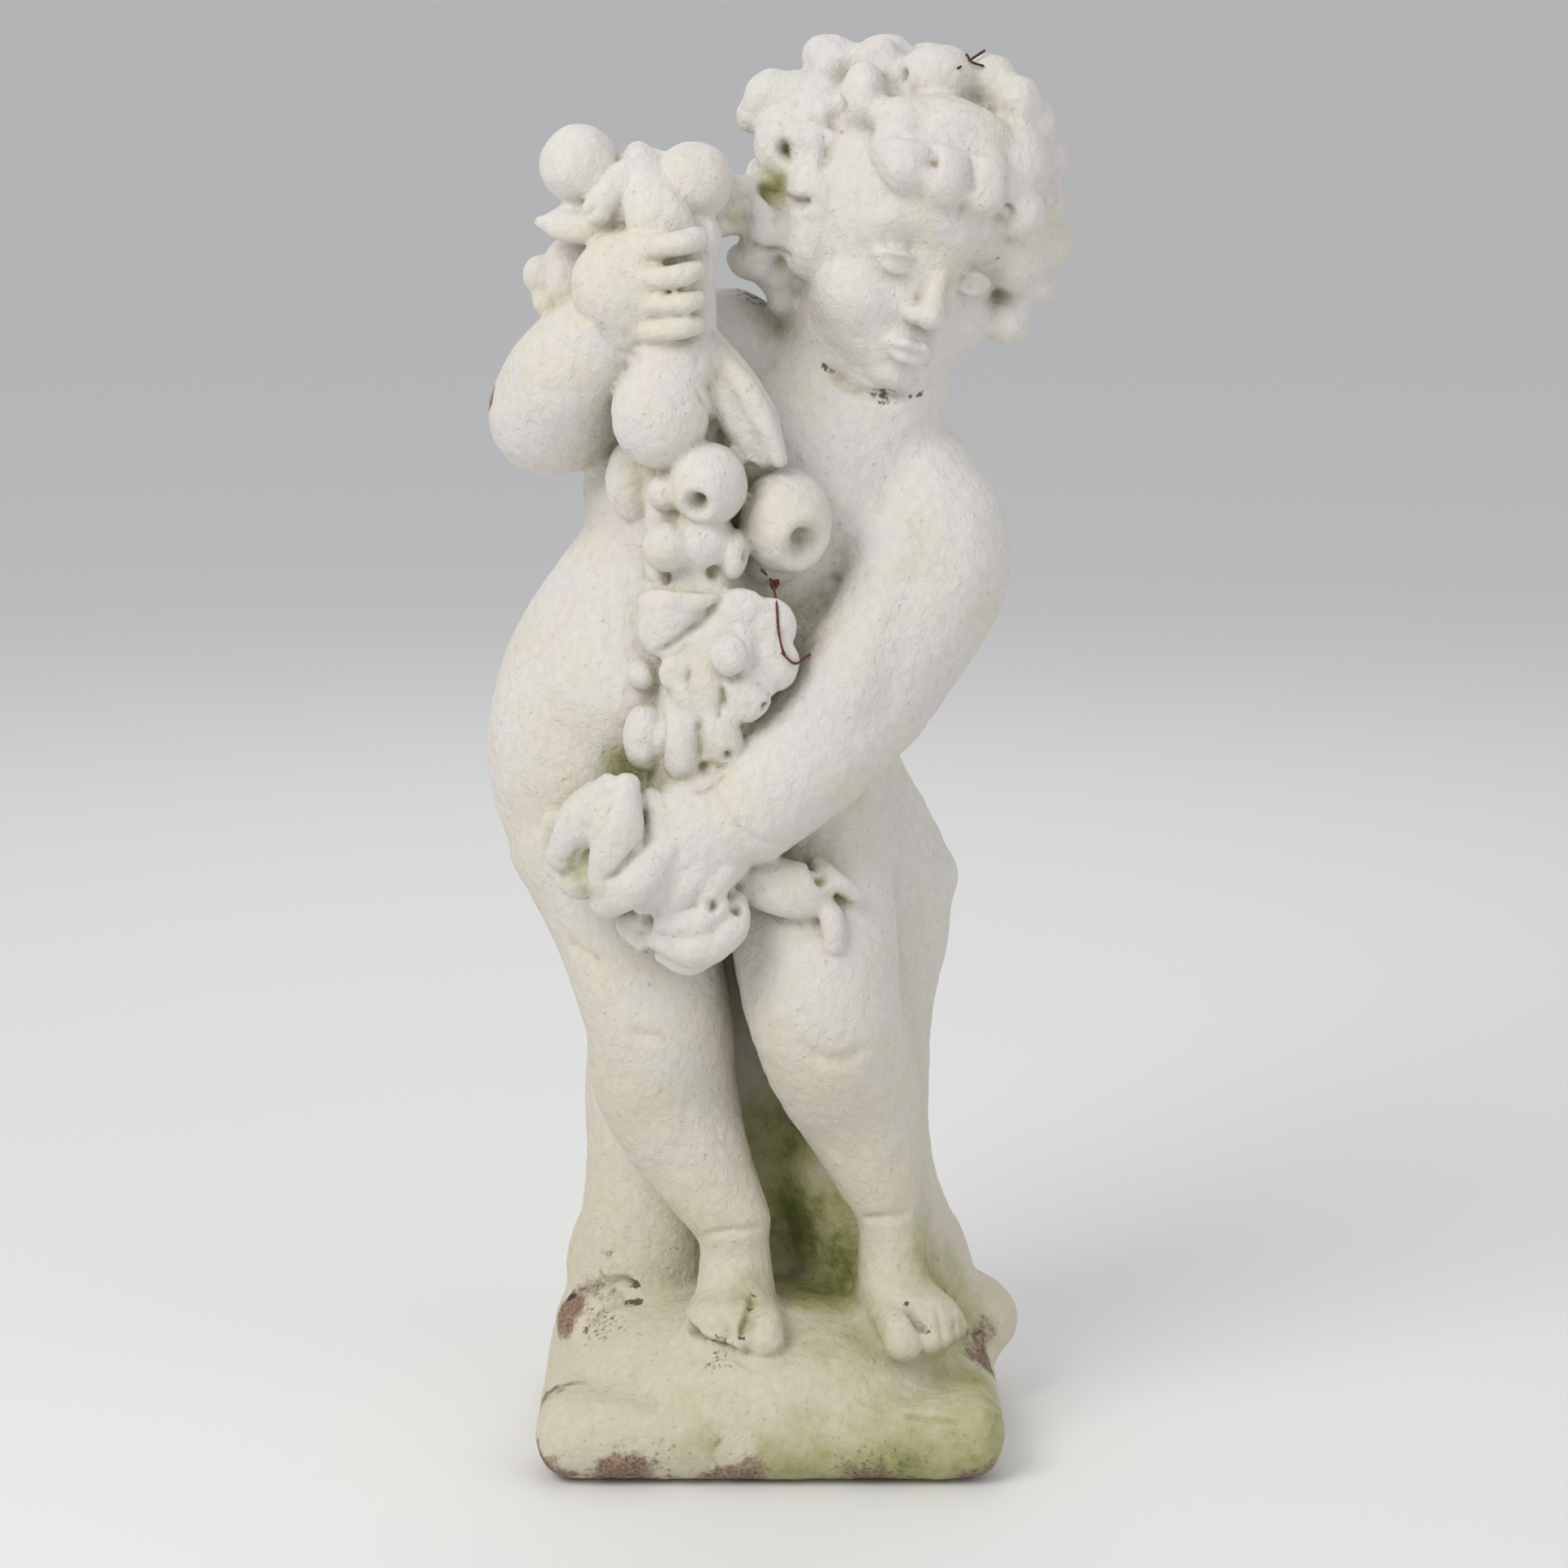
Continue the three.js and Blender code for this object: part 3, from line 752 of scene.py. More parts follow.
def addMiddleRun(pile):
    tube(pile, [(-40, -64, 510, 24), (-32, -64, 464, 30), (-40, -66, 420, 26), (-50, -66, 380, 20)])
    # a broad wedge of leaf that hangs from the nut
    lump(pile, (-46, -84, 500), (25, 11, 10), lean=-4, fine=True)
    lump(pile, (-54, -84, 487), (18, 11, 20), lean=24, fine=True)
    # the open flower, its petals laid over each other round a button
    petals = [
        (-46, -84, 460, 13, 14, -30),
        (-37, -86, 450, 14, 15, -14),
        (-13, -86, 450, 15, 17, 16),
        (-2, -82, 466, 17, 18, 60),
        (-3, -80, 484, 17, 18, 120),
        (-17, -82, 494, 15, 13, 160),
    ]
    for x, y, z, wide, long, lean in petals:
        lump(pile, (x, y - 3, z), (wide, 6, long), lean=lean, shape=blade(taper=-0.15), fine=True)
    lump(pile, (-22, -84, 472), (20, 12, 20))
    lump(pile, (-21, -94, 472), (12.5, 10, 12.5), fine=True)
    lump(pile, (-69.5, -76, 458), (8.5, 10, 8.5))
    lump(pile, (-58, -70, 460), (12, 9, 9))
    # three leaves side by side below it
    for x, y, z, lean in ((-68, -80, 423, 182), (-49, -87, 420, 176), (-27, -88, 427, 160)):
        lump(pile, (x, y, z), (12.5, 9, 19), lean=lean, shape=blade(taper=0.05, fold=0.2), fine=True)
    lump(pile, (-44, -72, 430), (28, 10, 12))


def addLowerRun(pile):
    # a bud of long leaves folded over each other, by the left hand
    lump(pile, (-92, -78, 368), (27, 20, 34), lean=22, fine=True)
    leaves = [
        [(-86, -94, 400, 7), (-100, -97, 382, 14), (-114, -90, 358, 9)],
        [(-77, -98, 402, 7), (-82, -108, 378, 14), (-90, -103, 346, 10)],
        [(-56, -102, 367, 9), (-72, -108, 350, 13), (-90, -100, 334, 9)],
        [(-118, -78, 378, 6), (-122, -76, 364, 7), (-118, -80, 350, 6)],
        [(-96, -94, 348, 9), (-106, -88, 344, 9), (-114, -82, 352, 7)],
        [(-66, -92, 392, 7), (-60, -96, 378, 9), (-66, -102, 360, 8)],
    ]
    # curled leaves below the hand
    leaves += [
        [(-18, -86, 334, 7), (-22, -94, 320, 10), (-40, -98, 309, 11), (-62, -92, 314, 8)],
        [(-28, -96, 334, 8), (-40, -100, 324, 9), (-60, -96, 324, 7)],
        [(-66, -88, 324, 8), (-78, -84, 320, 7), (-70, -86, 310, 6)],
        [(-34, -92, 302, 5), (-46, -92, 298, 6), (-60, -86, 303, 5)],
    ]
    for leaf in leaves:
        tube(pile, leaf, depth=0.8)
    lump(pile, (-44, -80, 318), (26, 14, 18))
    # the leaf over the hip, with two stalks
    hipLeaf = [(-18, -72, 344, 14), (2, -76, 340, 16), (20, -76, 336, 16), (30, -74, 338, 9)]
    tube(pile, hipLeaf, depth=0.6)
    tube(pile, [(26, -66, 350, 5), (36, -72, 342, 5.5), (46, -68, 334, 5.5)])
    tube(pile, [(28, -72, 332, 6), (34, -78, 322, 6.5), (35, -80, 308, 6.5)])


addTopBunch(carving)
addUpperRun(carving)
addMiddleRun(carving)
addLowerRun(carving)
carving["pieces"].append(figure)
figure = joinPile(carving)
blendPile(figure, "carving")
figure.name = "stone_putto"
print("figure carved:", len(figure.data.vertices), "points")


takeUp(figure)


def cutHair():
    dot((8.5, 739), 4.2, 12)
    cutLine([(8, 746), (9, 738), (12, 732)], 2.6, 6)
    cutLine([(-5, 722), (2, 714), (14, 711), (24, 713)], 3.2, 6, lip=0.8)
    cutLine([(28, 728), (31, 740), (26, 752), (14, 758)], 3.5, 3.5)
    cutLine([(-14, 690), (2, 684), (12, 681)], 2.6, 4)
    cutLine([(39, 767), (36, 758), (33, 748)], 5, 4)
    cutLine([(86, 745), (87, 734), (87, 722)], 2.6, 3)
    cutLine([(108, 740), (109, 728), (108, 716)], 2.6, 3)
    cutLine([(128, 730), (129, 718), (127, 708)], 2.6, 3)
    cutLine([(60, 748), (76, 750), (100, 746), (124, 738)], 3.5, 3)
    dot((71, 780), 3.0, 8)
    dot((87, 734), 3, 4)
    dot((129, 709), 2.6, 4)


# Folds of the skin at the wrists, ankles, knees, armpit and neck.
folds = [
    ([(-92, -85, 649), (-87, -86, 642), (-80, -84, 634), (-71, -84, 633)], 2.6, 3),
    ([(-33, -92, 401), (-29, -100, 393), (-21, -107, 382), (-7, -105, 372), (9, -95, 367)], 2.4, 1.6),
    ([(-42, -96, 397), (-33, -94, 399), (-24, -92, 408)], 2.4, 2.4),
    ([(-43, -30, 124), (-29, -45, 131), (-14, -44, 132), (-2, -30, 132)], 2.6, 2.4),
    ([(52, -36, 137), (66, -42, 139), (81, -35, 140)], 2.6, 2.4),
    ([(-79, -59, 251), (-66, -62, 250), (-54, -61, 247)], 3, 1.6),
    ([(17, -86, 255), (29, -85, 243), (42, -84, 243), (54, -80, 249)], 5, 2.4),
    ([(68, -47, 534), (55, -45, 521), (40, -40, 504)], 4, 5),
    ([(28, -62, 514), (41, -41, 504), (53, -50, 509)], 4, 2.5),
    ([(-114, -37, 300), (-106, -46, 294), (-93, -53, 291)], 4, 2.5),
    ([(30, -30, 622), (37, -33, 616), (46, -36, 609), (65, -37, 605), (84, -30, 606)], 3, 4),
]
toeGaps = [
    ([(-9, -56, 98), (-10, -60, 95), (-13, -72, 88), (-16, -80, 80)], 2.4, 5),
    ([(-25, -68, 93), (-24, -79, 78)], 1.6, 1.5),
    ([(-34, -64, 94), (-33, -74, 80)], 1.6, 1.5),
    ([(-41, -53, 93), (-40, -69, 83)], 1.6, 1.5),
    ([(77, -60, 94), (82, -69, 87), (89, -73, 81)], 2.4, 5),
    ([(95, -61, 91), (98, -70, 76)], 1.6, 1.5),
    ([(102, -52, 91), (105, -61, 77)], 1.6, 1.5),
]
cracks = [
    (
        [(-54, -40, 84), (-45, -64, 80), (-39, -74, 76), (-23, -81, 72), (-16, -84, 69), (-10, -89, 65)],
        2.4,
        8,
    ),
    ([(-119, 24, 69), (-107, 17, 78), (-88, 5, 86), (-78, 3, 84)], 2.6, 5),
    ([(-108, -12, 62), (-94, -5, 73), (-76, -3, 76)], 2.4, 4),
    ([(-33, -105, 12), (-30, -107, 24), (-27, -107, 31)], 1.6, 2.5),
    ([(74, -99, 42), (91, -102, 40), (112, -103, 38)], 1.8, 2),
]
# Between the leaves, petals and fruit.
seams = [
    ([(-78, 505), (-60, 509), (-36, 508), (-22, 506)], 2.2, 4),
    ([(-24, 503), (-36, 490), (-50, 478), (-62, 471)], 2.2, 4),
    ([(-42, 465), (-44, 456), (-38, 446)], 2, 2.5),
    ([(-26, 456), (-25, 446), (-28, 436)], 2, 3),
    ([(-8, 458), (0, 450), (4, 440)], 2, 2.5),
    ([(-34, 478), (-33, 465), (-22, 458), (-10, 464), (-9, 476), (-20, 486), (-34, 478)], 2, 3),
    ([(-58, 436), (-59, 424), (-60, 408)], 2, 3),
    ([(-39, 436), (-38, 424), (-36, 410)], 2, 3),
    ([(-84, 397), (-94, 380), (-108, 356)], 2.2, 3),
    ([(-68, 372), (-82, 356), (-100, 340)], 2, 2.5),
    ([(-38, 638), (-36, 612), (-30, 590)], 2, 2.5),
    ([(-92, 712), (-98, 706), (-112, 706)], 2, 2.5),
]


# The drilled ends of the seams, beside the leaves of the garland and of the hand.
drilled = [(-30, 515), (-57, 512), (-11, 524), (-1, 442), (-22, 415), (-35, 408), (-31, 590)]
drilled += [(-10, 570), (29, 344), (-17, 331), (-67, 324), (-30, 334)]
hipSwelling = {"place": (104, 40, 322), "radius": 14, "height": 5}


def cutFolds():
    for group in (folds, toeGaps, cracks, seams):
        for line, width, depth in group:
            cutLine(line, width, depth)
    for spot in drilled:
        dot(spot, 3, 6)
    swell(hipSwelling["place"], hipSwelling["radius"], hipSwelling["height"])


cutHair()
cutFolds()
points = surface["points"]
points[:, 2] = np.maximum(points[:, 2], 0)
putDown(figure)


# The casting is uneven from the mould and from many coats of paint: size and height of each.
unevenness = {"swells": (34, 2.4), "brushed coats": (10, 1.3)}


def roughen(piece, size, height, kind):
    texture = bpy.data.textures.new(kind, "CLOUDS")
    texture.noise_scale = size * unit
    applyModifier(piece, "DISPLACE", texture=texture, strength=height * unit, mid_level=0.5)
    bpy.data.textures.remove(texture)


for kind, (size, height) in unevenness.items():
    roughen(figure, size, height, kind)
# a closed skin has about two triangles for each point
applyModifier(figure, "DECIMATE", ratio=statue["triangles"] / (2 * len(figure.data.vertices)))
takeUp(figure)
surface["points"][:, 2] = np.maximum(surface["points"][:, 2], 0)
putDown(figure)
print("figure thinned:", len(figure.data.polygons), "faces")


# How sheltered each point is, by rays cast from it, and how hollow, by how far it lies below its
# neighbours' average.
shelter = {"rays": 14, "reach": 45, "start": 1.2, "farShare": 0.6, "rounds": 3, "gain": 0.3}


def readShelter(piece):
    tree = BVHTree.FromPolygons(
        [vertex.co for vertex in piece.data.vertices],
        [polygon.vertices for polygon in piece.data.polygons],
    )
    golden = math.pi * (3 - math.sqrt(5))
    fan = []
    for i in range(shelter["rays"]):
        height = 1 - (i + 0.5) / shelter["rays"]
        reach = math.sqrt(1 - height**2)
        fan.append(Vector((reach * math.cos(golden * i), reach * math.sin(golden * i), height)))
    found = np.zeros(len(piece.data.vertices))
    for vertex in piece.data.vertices:
        facing = vertex.normal.to_track_quat("Z", "Y")
        start = vertex.co + shelter["start"] * unit * vertex.normal
        for ray in fan[:: 1]:
            hit = tree.ray_cast(start, facing @ ray, shelter["reach"] * unit)
            if hit[0] is not None:
                found[vertex.index] += 1 - shelter["farShare"] * hit[3] / (shelter["reach"] * unit)
    return found / shelter["rays"]


def readHollows(piece, rounds):
    edges = np.empty(2 * len(piece.data.edges), dtype=np.int64)
    piece.data.edges.foreach_get("vertices", edges)
    a, b = edges.reshape(-1, 2).T
    points = inMillimetres(piece.data)
    size = len(points)
    count = np.bincount(a, minlength=size) + np.bincount(b, minlength=size)
    soft = points.copy()
    for _ in range(rounds):
        for axis in range(3):
            total = np.bincount(a, soft[b, axis], size) + np.bincount(b, soft[a, axis], size)
            soft[:, axis] = 0.5 * soft[:, axis] + 0.5 * total / np.maximum(count, 1)
    return np.sum((soft - points) * readNormals(piece.data), axis=1)


# What the weather left, with painted shade among the grime, in spots of (x, y, z, radius, strength).
weatherAndShadeSpots = {
    "algae": [
        (24, -14, 764, 15, 0.8), (28, -24, 745, 12, 0.5), (4, -28, 722, 12, 0.8),
        (20, -36, 690, 22, 0.3), (-24, -30, 700, 16, 0.8), (60, -20, 620, 24, 0.2),
        (-46, -72, 404, 20, 0.7), (-82, -72, 402, 16, 1.0), (-100, -90, 350, 28, 0.5),
        (-30, -70, 505, 20, 0.4), (30, -72, 344, 26, 0.35), (8, 10, 170, 36, 0.9),
        (12, 10, 120, 40, 1.1), (30, -10, 100, 34, 1.1), (44, -20, 150, 22, 0.7),
        (96, -24, 110, 34, 0.9), (110, -10, 80, 40, 0.9), (128, -60, 50, 44, 0.8),
        (20, -108, 10, 40, 0.9), (70, -106, 12, 44, 1.0), (-40, -108, 30, 36, 0.5),
        (40, -70, 74, 40, 0.5), (-10, -40, 96, 20, 0.6), (120, -90, 16, 46, 1.0),
        (-20, -60, 90, 26, 0.5), (100, 46, 200, 40, 0.3), (-110, -70, 100, 30, 0.4),
        (-70, -100, 40, 50, 0.3),
    ],
    # grime: dirt on the base, and painted shade in the recesses between the legs, behind the feet,
    # beside the garland, between the head and the shoulder, and under the chin
    "grimeAndShade": [
        (-60, -108, 0, 60, 0.7), (60, -108, 0, 70, 0.7), (-100, -20, 74, 34, 0.8),
        (-20, 4, 104, 26, 0.7), (16, -20, 100, 20, 0.6), (-10, 10, 655, 22, 0.9),
        (62, -36, 606, 12, 0.9), (40, -36, 470, 22, 0.8), (-24, -36, 300, 20, 0.6),
        (-90, -30, 92, 44, 0.8), (-30, -86, 74, 22, 0.9), (120, -20, 50, 34, 0.7),
    ],
    "bare": [
        (-152, -30, 604, 9, 1.2), (-126, -84, 2, 42, 0.8), (-80, -108, -4, 40, 0.85),
        (-20, -108, -8, 44, 0.8), (60, -108, -10, 44, 0.8), (120, -100, -6, 34, 0.75),
        (134, -10, 56, 34, 0.95), (-124, 10, 70, 26, 0.9), (-104, -20, 76, 22, 0.6),
        (-100, 0, 84, 44, 0.6), (-126, -60, 40, 40, 0.6), (100, -108, 28, 20, 0.5),
    ],
}


# dirt packed into the cracks, dirt and painted shade in the gaps by the big toes, and painted shadow
# along the fold under the chin, with its reach beside the cut
dirtAndShadeLines = {
    "lines": ((cracks[:3], 1.5), (toeGaps[:1] + toeGaps[4:5], 1.2), (folds[-1:], 1.0)),
    "steps": 24,
    "reach": 1.3,
}


def addAttribute(piece, name, values):
    attribute = piece.data.attributes.new(name, "FLOAT", "POINT")
    attribute.data.foreach_set("value", np.clip(values, 0, 1).astype(np.float32))


def spots(points, places):
    total = np.zeros(len(points))
    for x, y, z, radius, strength in places:
        away = np.linalg.norm(points - np.array((x, y, z)), axis=1) / radius
        total = np.maximum(total, strength * np.exp(-(away**2)))
    return total


# Strengths go past 1, so they are stored divided by this and multiplied by it in the material.
attributeScale = 2.0


def addWeatherAndShade(piece):
    points = inMillimetres(piece.data)
    sheltered = readShelter(piece)
    addAttribute(piece, "shelter", sheltered)
    hollows = readHollows(piece, shelter["rounds"])
    addAttribute(piece, "hollow", 0.5 + shelter["gain"] * hollows)
    found = {name: spots(points, places) for name, places in weatherAndShadeSpots.items()}
    # the lines add painted shadow under the chin and painted shade by the big toes to the dirt in the
    # cracks
    for lines, strength in dirtAndShadeLines["lines"]:
        for line, width, depth in lines:
            path = alongPath(line, np.linspace(0, 1, dirtAndShadeLines["steps"]))
            reach = dirtAndShadeLines["reach"] * width
            lineDirtAndShade = spots(points, [(*place, reach, strength) for place in path])
            found["grimeAndShade"] = np.maximum(found["grimeAndShade"], lineDirtAndShade)
    for name, values in found.items():
        addAttribute(piece, name, values / attributeScale)


addWeatherAndShade(figure)
print("weather laid")


# Dry things caught on the statue: a twig in the hair, and a tendril with a leaf by the left arm.
debris = {"thick": 0.7, "lift": 1.2, "twig": "#4A3A2C", "tendril": "#7A4632"}


def addDebris(name, paths, leaves=()):
    pile = newPile(name)
    for path in paths:
        placed = [(*(skinAt(x, z) - (0, debris["lift"], 0)), debris["thick"]) for x, z in path]
        tube(pile, placed)
    for x, z, size in leaves:
        lump(pile, skinAt(x, z) - (0, 1, 0), (size, 0.8, 1.5 * size), lean=20)
    return joinPile(pile)


takeUp(figure)
twigPaths = [[(102, 783), (109, 787), (117, 792)], [(107, 790), (110, 786), (116, 784)]]
twig = addDebris("dry_twig", twigPaths)
tendril = addDebris(
    "dry_tendril",
    [[(-4, 514), (1, 508), (4, 498), (5, 484), (8, 472), (12, 467)], [(7, 472), (14, 466), (22, 468)]],
    leaves=[(3, 506, 2.4), (4, 494, 2)],
)
for piece in templates.values():
    bpy.data.objects.remove(piece)


# materials
def colourOf(code):
    channels = [int(code[i : i + 2], 16) / 255 for i in (1, 3, 5)]
    linear = [c / 12.92 if c <= 0.04045 else ((c + 0.055) / 1.055) ** 2.4 for c in channels]
    return (*linear, 1)


def addNode(tree, kind, inputs=None, **settings):
    node = tree.nodes.new("ShaderNode" + kind)
    for name, value in settings.items():
        setattr(node, name, value)
    for name, value in (inputs or {}).items():
        if isinstance(value, bpy.types.NodeSocket):
            tree.links.new(value, node.inputs[name])
        else:
            node.inputs[name].default_value = value
    return node


def grain(tree, place, size, detail=2, roughness=0.5, distortion=0.0):
    settings = {"Vector": place, "Scale": 1000 / size, "Detail": detail, "Roughness": roughness}
    return addNode(tree, "TexNoise", {**settings, "Distortion": distortion}).outputs[0]


def between(tree, value, low, high):
    node = addNode(tree, "MapRange", {0: value, 1: low, 2: high}, interpolation_type="SMOOTHSTEP")
    return node.outputs[0]


def sums(tree, operation, a, b):
    return addNode(tree, "Math", {0: a, 1: b}, operation=operation).outputs[0]


def blended(tree, share, a, b):
    inputs = {0: share, 6: a, 7: b}
    return addNode(tree, "Mix", inputs, data_type="RGBA").outputs[2]


def attributeOf(tree, name):
    return addNode(tree, "Attribute", attribute_name=name).outputs["Fac"]


def spotStrengthOf(tree, name):
    return sums(tree, "MULTIPLY", attributeOf(tree, name), attributeScale)


# Bump of a depth in millimetres, laid over the bump below it.
def raised(tree, height, strength, depth, below=None):
    inputs = {"Height": height, "Strength": strength, "Distance": depth * unit}
    if below:
        inputs["Normal"] = below
    return addNode(tree, "Bump", inputs).outputs[0]


paint = {
    "coat": "#DEDAD4",
    "cream": "#DCD7C8",
    "lilac": "#DDD6D4",
    "aged": "#CFC6A9",
    # a grey for a thin film of dirt and for painted shade in the sheltered places
    "filmAndShade": "#A9A48C",
    "algae": "#A6A46C",
    "darkAlgae": "#5E6A2C",
    # a black for dirt and for painted shade in deep hollows, recesses and under the chin
    "grimeAndShade": "#2F2A20",
    "stone": "#A68A76",
    "darkStone": "#6B5848",
}


# Widths of the patterns in millimetres: patches a hand wide, brush marks, pits, sand and specks.
pattern = {
    "patches": 70,
    "lilac": 46,
    "edge": 22,
    "blotch": 16,
    "pits": 9.0,
    "brush": 6,
    "speckle": 5,
    "specks": 3.4,
    "sand": 2.2,
}
relief = {"coats": 2.2, "pits": 1.2, "grit": 1.6}
finish = {"wettest": 0.62, "driest": 0.86, "specular": 0.35}


# Thick masonry paint over a sandy cast stone: pale and dull, with soft patches of cream and lilac,
# green algae where it stays damp, black specks, dirt and painted shade in the holes and in the
# sheltered places, and pinkish stone where it wore off.
def makePaintedStone():
    material = bpy.data.materials.new("painted_cast_stone")
    material.use_nodes = True
    tree = material.node_tree
    shader = tree.nodes["Principled BSDF"]
    place = addNode(tree, "TexCoord").outputs["Object"]
    tint = {name: colourOf(code) for name, code in paint.items()}
    sheltered = attributeOf(tree, "shelter")
    hollow = attributeOf(tree, "hollow")
    # patches of cream and lilac
    cream = between(tree, grain(tree, place, pattern["patches"]), 0.45, 0.62)
    colour = blended(tree, cream, tint["coat"], tint["cream"])
    lilac = between(tree, grain(tree, place, pattern["lilac"], distortion=0.6), 0.5, 0.68)
    colour = blended(tree, sums(tree, "MULTIPLY", lilac, 0.8), colour, tint["lilac"])
    # yellowed towards the ground
    height = addNode(tree, "SeparateXYZ", {0: place}).outputs["Z"]
    aged = sums(tree, "MULTIPLY", between(tree, height, 0.36, 0.02), 0.75)
    colour = blended(tree, aged, colour, tint["aged"])
    # painted shade and a thin film of dirt, darker in the sheltered places, the hollows and the brush
    # marks
    filmAndShade = sums(tree, "MULTIPLY", between(tree, sheltered, 0.15, 0.7), 0.75)
    filmAndShade = sums(tree, "ADD", filmAndShade, sums(tree, "MULTIPLY", between(tree, hollow, 0.54, 0.8), 0.7))
    speckle = between(tree, grain(tree, place, pattern["speckle"], detail=4, roughness=0.7), 0.1, 0.6)
    colour = blended(tree, sums(tree, "MULTIPLY", filmAndShade, speckle), colour, tint["filmAndShade"])
    # algae
    damp = sums(tree, "MULTIPLY", spotStrengthOf(tree, "algae"), sums(tree, "ADD", sheltered, 0.75))
    blotch = grain(tree, place, pattern["blotch"], detail=5, roughness=0.65)
    algae = between(tree, sums(tree, "ADD", damp, sums(tree, "MULTIPLY", blotch, 0.8)), 0.5, 1.15)
    colour = blended(tree, sums(tree, "MULTIPLY", algae, 0.85), colour, tint["algae"])
    deep = between(tree, sums(tree, "ADD", damp, sums(tree, "MULTIPLY", blotch, 1.2)), 1.2, 1.7)
    colour = blended(tree, sums(tree, "MULTIPLY", deep, 0.8), colour, tint["darkAlgae"])
    # bare stone, sandy, with dark growth in its pits
    sand = grain(tree, place, pattern["sand"], detail=3, roughness=0.7)
    stone = blended(tree, between(tree, sand, 0.4, 0.66), tint["stone"], tint["darkStone"])
    edge = sums(tree, "MULTIPLY", grain(tree, place, pattern["edge"], detail=6, roughness=0.7), 0.9)
    bare = between(tree, sums(tree, "ADD", spotStrengthOf(tree, "bare"), edge), 0.95, 1.12)
    colour = blended(tree, bare, colour, stone)
    # black specks of dirt, with black dirt and painted shade in the deepest hollows and at the spots of
    # dirt and painted shade
    specks = grain(tree, place, pattern["specks"], detail=3, roughness=0.6)
    hollowDirtAndShade = sums(tree, "MULTIPLY", between(tree, hollow, 0.66, 0.95), 0.6)
    dirtAndShade = sums(tree, "ADD", spotStrengthOf(tree, "grimeAndShade"), hollowDirtAndShade)
    dirtAndShade = sums(tree, "ADD", sums(tree, "MULTIPLY", dirtAndShade, 0.6), sums(tree, "MULTIPLY", specks, 0.8))
    black = between(tree, dirtAndShade, 0.82, 0.98)
    colour = blended(tree, sums(tree, "MULTIPLY", black, 0.85), colour, tint["grimeAndShade"])
    # relief of the coats, of pits in them and of the sand
    brushed = addNode(tree, "Mapping", {"Vector": place, "Scale": (1, 1, 0.8)}).outputs[0]
    coats = grain(tree, brushed, pattern["brush"], detail=6, roughness=0.62, distortion=0.4)
    pitScale = 1000 / pattern["pits"]
    pits = addNode(tree, "TexVoronoi", {"Vector": place, "Scale": pitScale}).outputs["Distance"]
    pits = between(tree, pits, 0.05, 0.16)
    grit = sums(tree, "MULTIPLY", sand, bare)
    bump = raised(tree, coats, 1.0, relief["coats"])
    bump = raised(tree, pits, 0.5, relief["pits"], bump)
    bump = raised(tree, grit, 0.9, relief["grit"], bump)
    dryness = {0: coats, 3: finish["wettest"], 4: finish["driest"]}
    rough = addNode(tree, "MapRange", dryness).outputs[0]
    tree.links.new(colour, shader.inputs["Base Color"])
    tree.links.new(rough, shader.inputs["Roughness"])
    tree.links.new(bump, shader.inputs["Normal"])
    shader.inputs["Specular IOR Level"].default_value = finish["specular"]
    return material


def shadeSmooth(piece):
    bpy.ops.object.select_all(action="DESELECT")
    piece.select_set(True)
    bpy.context.view_layer.objects.active = piece
    bpy.ops.object.shade_smooth()


figure.data.materials.clear()
figure.data.materials.append(makePaintedStone())
shadeSmooth(figure)
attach(figure, "root")
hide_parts(statue["node"])


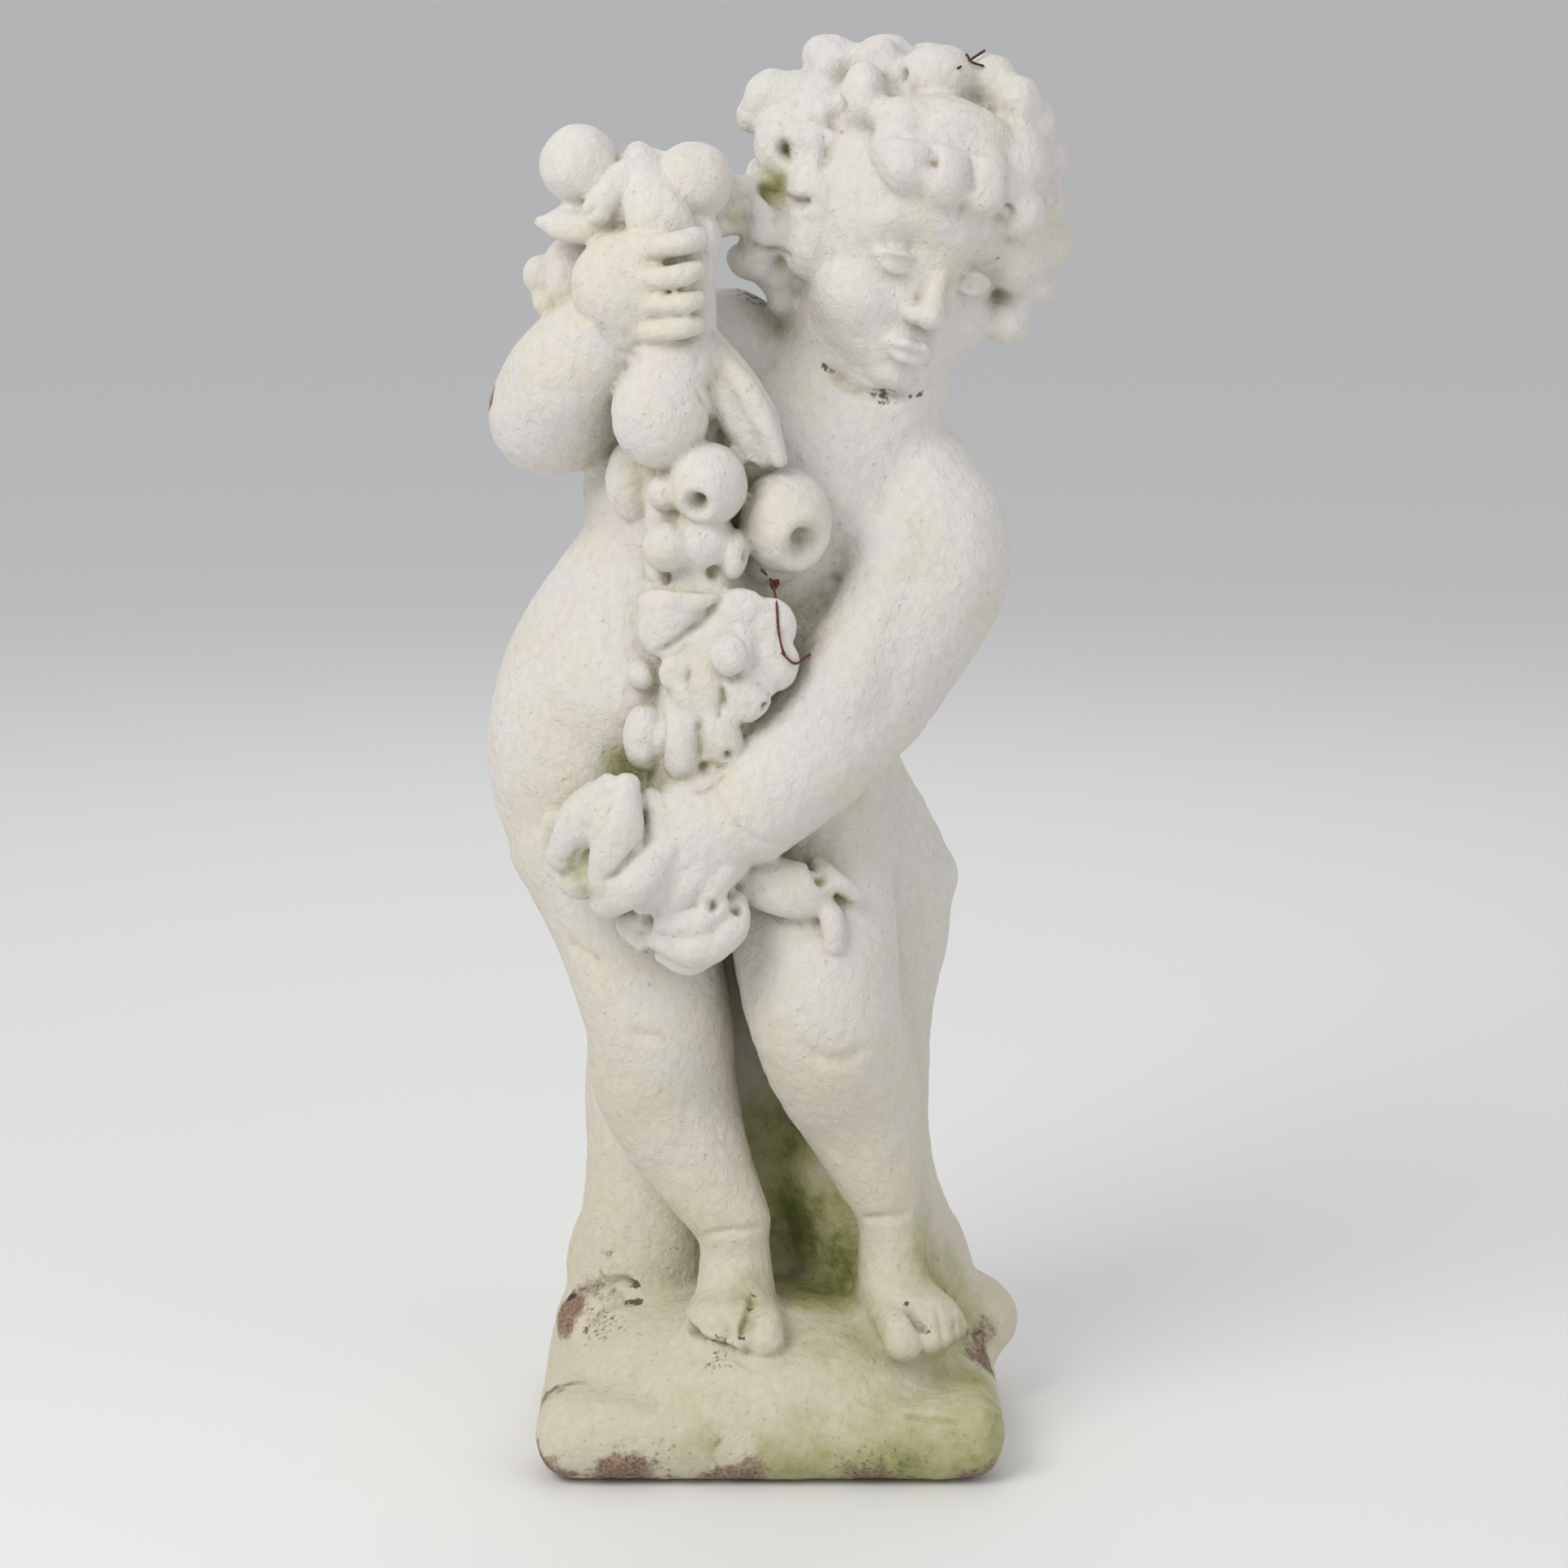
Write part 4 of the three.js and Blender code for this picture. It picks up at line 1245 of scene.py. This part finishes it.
# Dull dry bark, brown and streaked.
def makeBark(name, code):
    material = bpy.data.materials.new(name)
    material.use_nodes = True
    tree = material.node_tree
    place = addNode(tree, "TexCoord").outputs["Object"]
    streaks = grain(tree, place, 1.6, detail=4)
    dark = tuple(0.4 * c for c in colourOf(code)[:3]) + (1,)
    colour = blended(tree, between(tree, streaks, 0.35, 0.65), colourOf(code), dark)
    shader = tree.nodes["Principled BSDF"]
    tree.links.new(colour, shader.inputs["Base Color"])
    tree.links.new(raised(tree, streaks, 0.6, 0.4), shader.inputs["Normal"])
    shader.inputs["Roughness"].default_value = 0.85
    return material


for piece, name in ((twig, "twig"), (tendril, "tendril")):
    piece.data.materials.clear()
    piece.data.materials.append(makeBark("dry_" + name + "_bark", debris[name]))
    shadeSmooth(piece)
    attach(piece, "root")
print("paint laid")


# floor, backdrop and studio light
studio = {
    "floor": "#E9E8E6",
    "size": 3000,  # metres, so that its edge is out of sight
    "drop": 0.3,
    "sky": "#F4F6FA",
    "skyStrength": 0.6,
    "aim": (0, 0, 420),
}


def plainMaterial(name, code):
    material = bpy.data.materials.new(name)
    material.use_nodes = True
    shader = material.node_tree.nodes["Principled BSDF"]
    shader.inputs["Base Color"].default_value = colourOf(code)
    shader.inputs["Roughness"].default_value = 0.95
    return material


def addFloor():
    bpy.ops.object.select_all(action="DESELECT")
    bpy.ops.mesh.primitive_plane_add(
        size=studio["size"], location=inMetres((0, 0, -studio["drop"]))
    )
    floor = bpy.context.object
    floor.name = "floor"
    floor.data.materials.append(plainMaterial("pale floor", studio["floor"]))


lights = [
    {"place": (-1500, -1700, 2300), "size": 1.5, "power": 45, "colour": "#FFFDF9"},
    {"place": (1900, -1500, 1500), "size": 2.0, "power": 10, "colour": "#F6F8FF"},
    {"place": (0, 1800, 1900), "size": 1.6, "power": 9, "colour": "#FFFFFF"},
]


def addLights():
    for light in lights:
        place = inMetres(light["place"])
        aim = (inMetres(studio["aim"]) - place).to_track_quat("-Z", "Y").to_euler()
        bpy.ops.object.light_add(type="AREA", location=place, rotation=aim)
        lamp = bpy.context.object.data
        lamp.size = light["size"]
        lamp.energy = light["power"]
        lamp.color = colourOf(light["colour"])[:3]
    world = bpy.data.worlds.new("studio")
    world.use_nodes = True
    background = world.node_tree.nodes["Background"]
    background.inputs["Color"].default_value = colourOf(studio["sky"])
    background.inputs["Strength"].default_value = studio["skyStrength"]
    bpy.context.scene.world = world


addFloor()
addLights()
bpy.context.scene.view_settings.view_transform = "Standard"

print("finished")
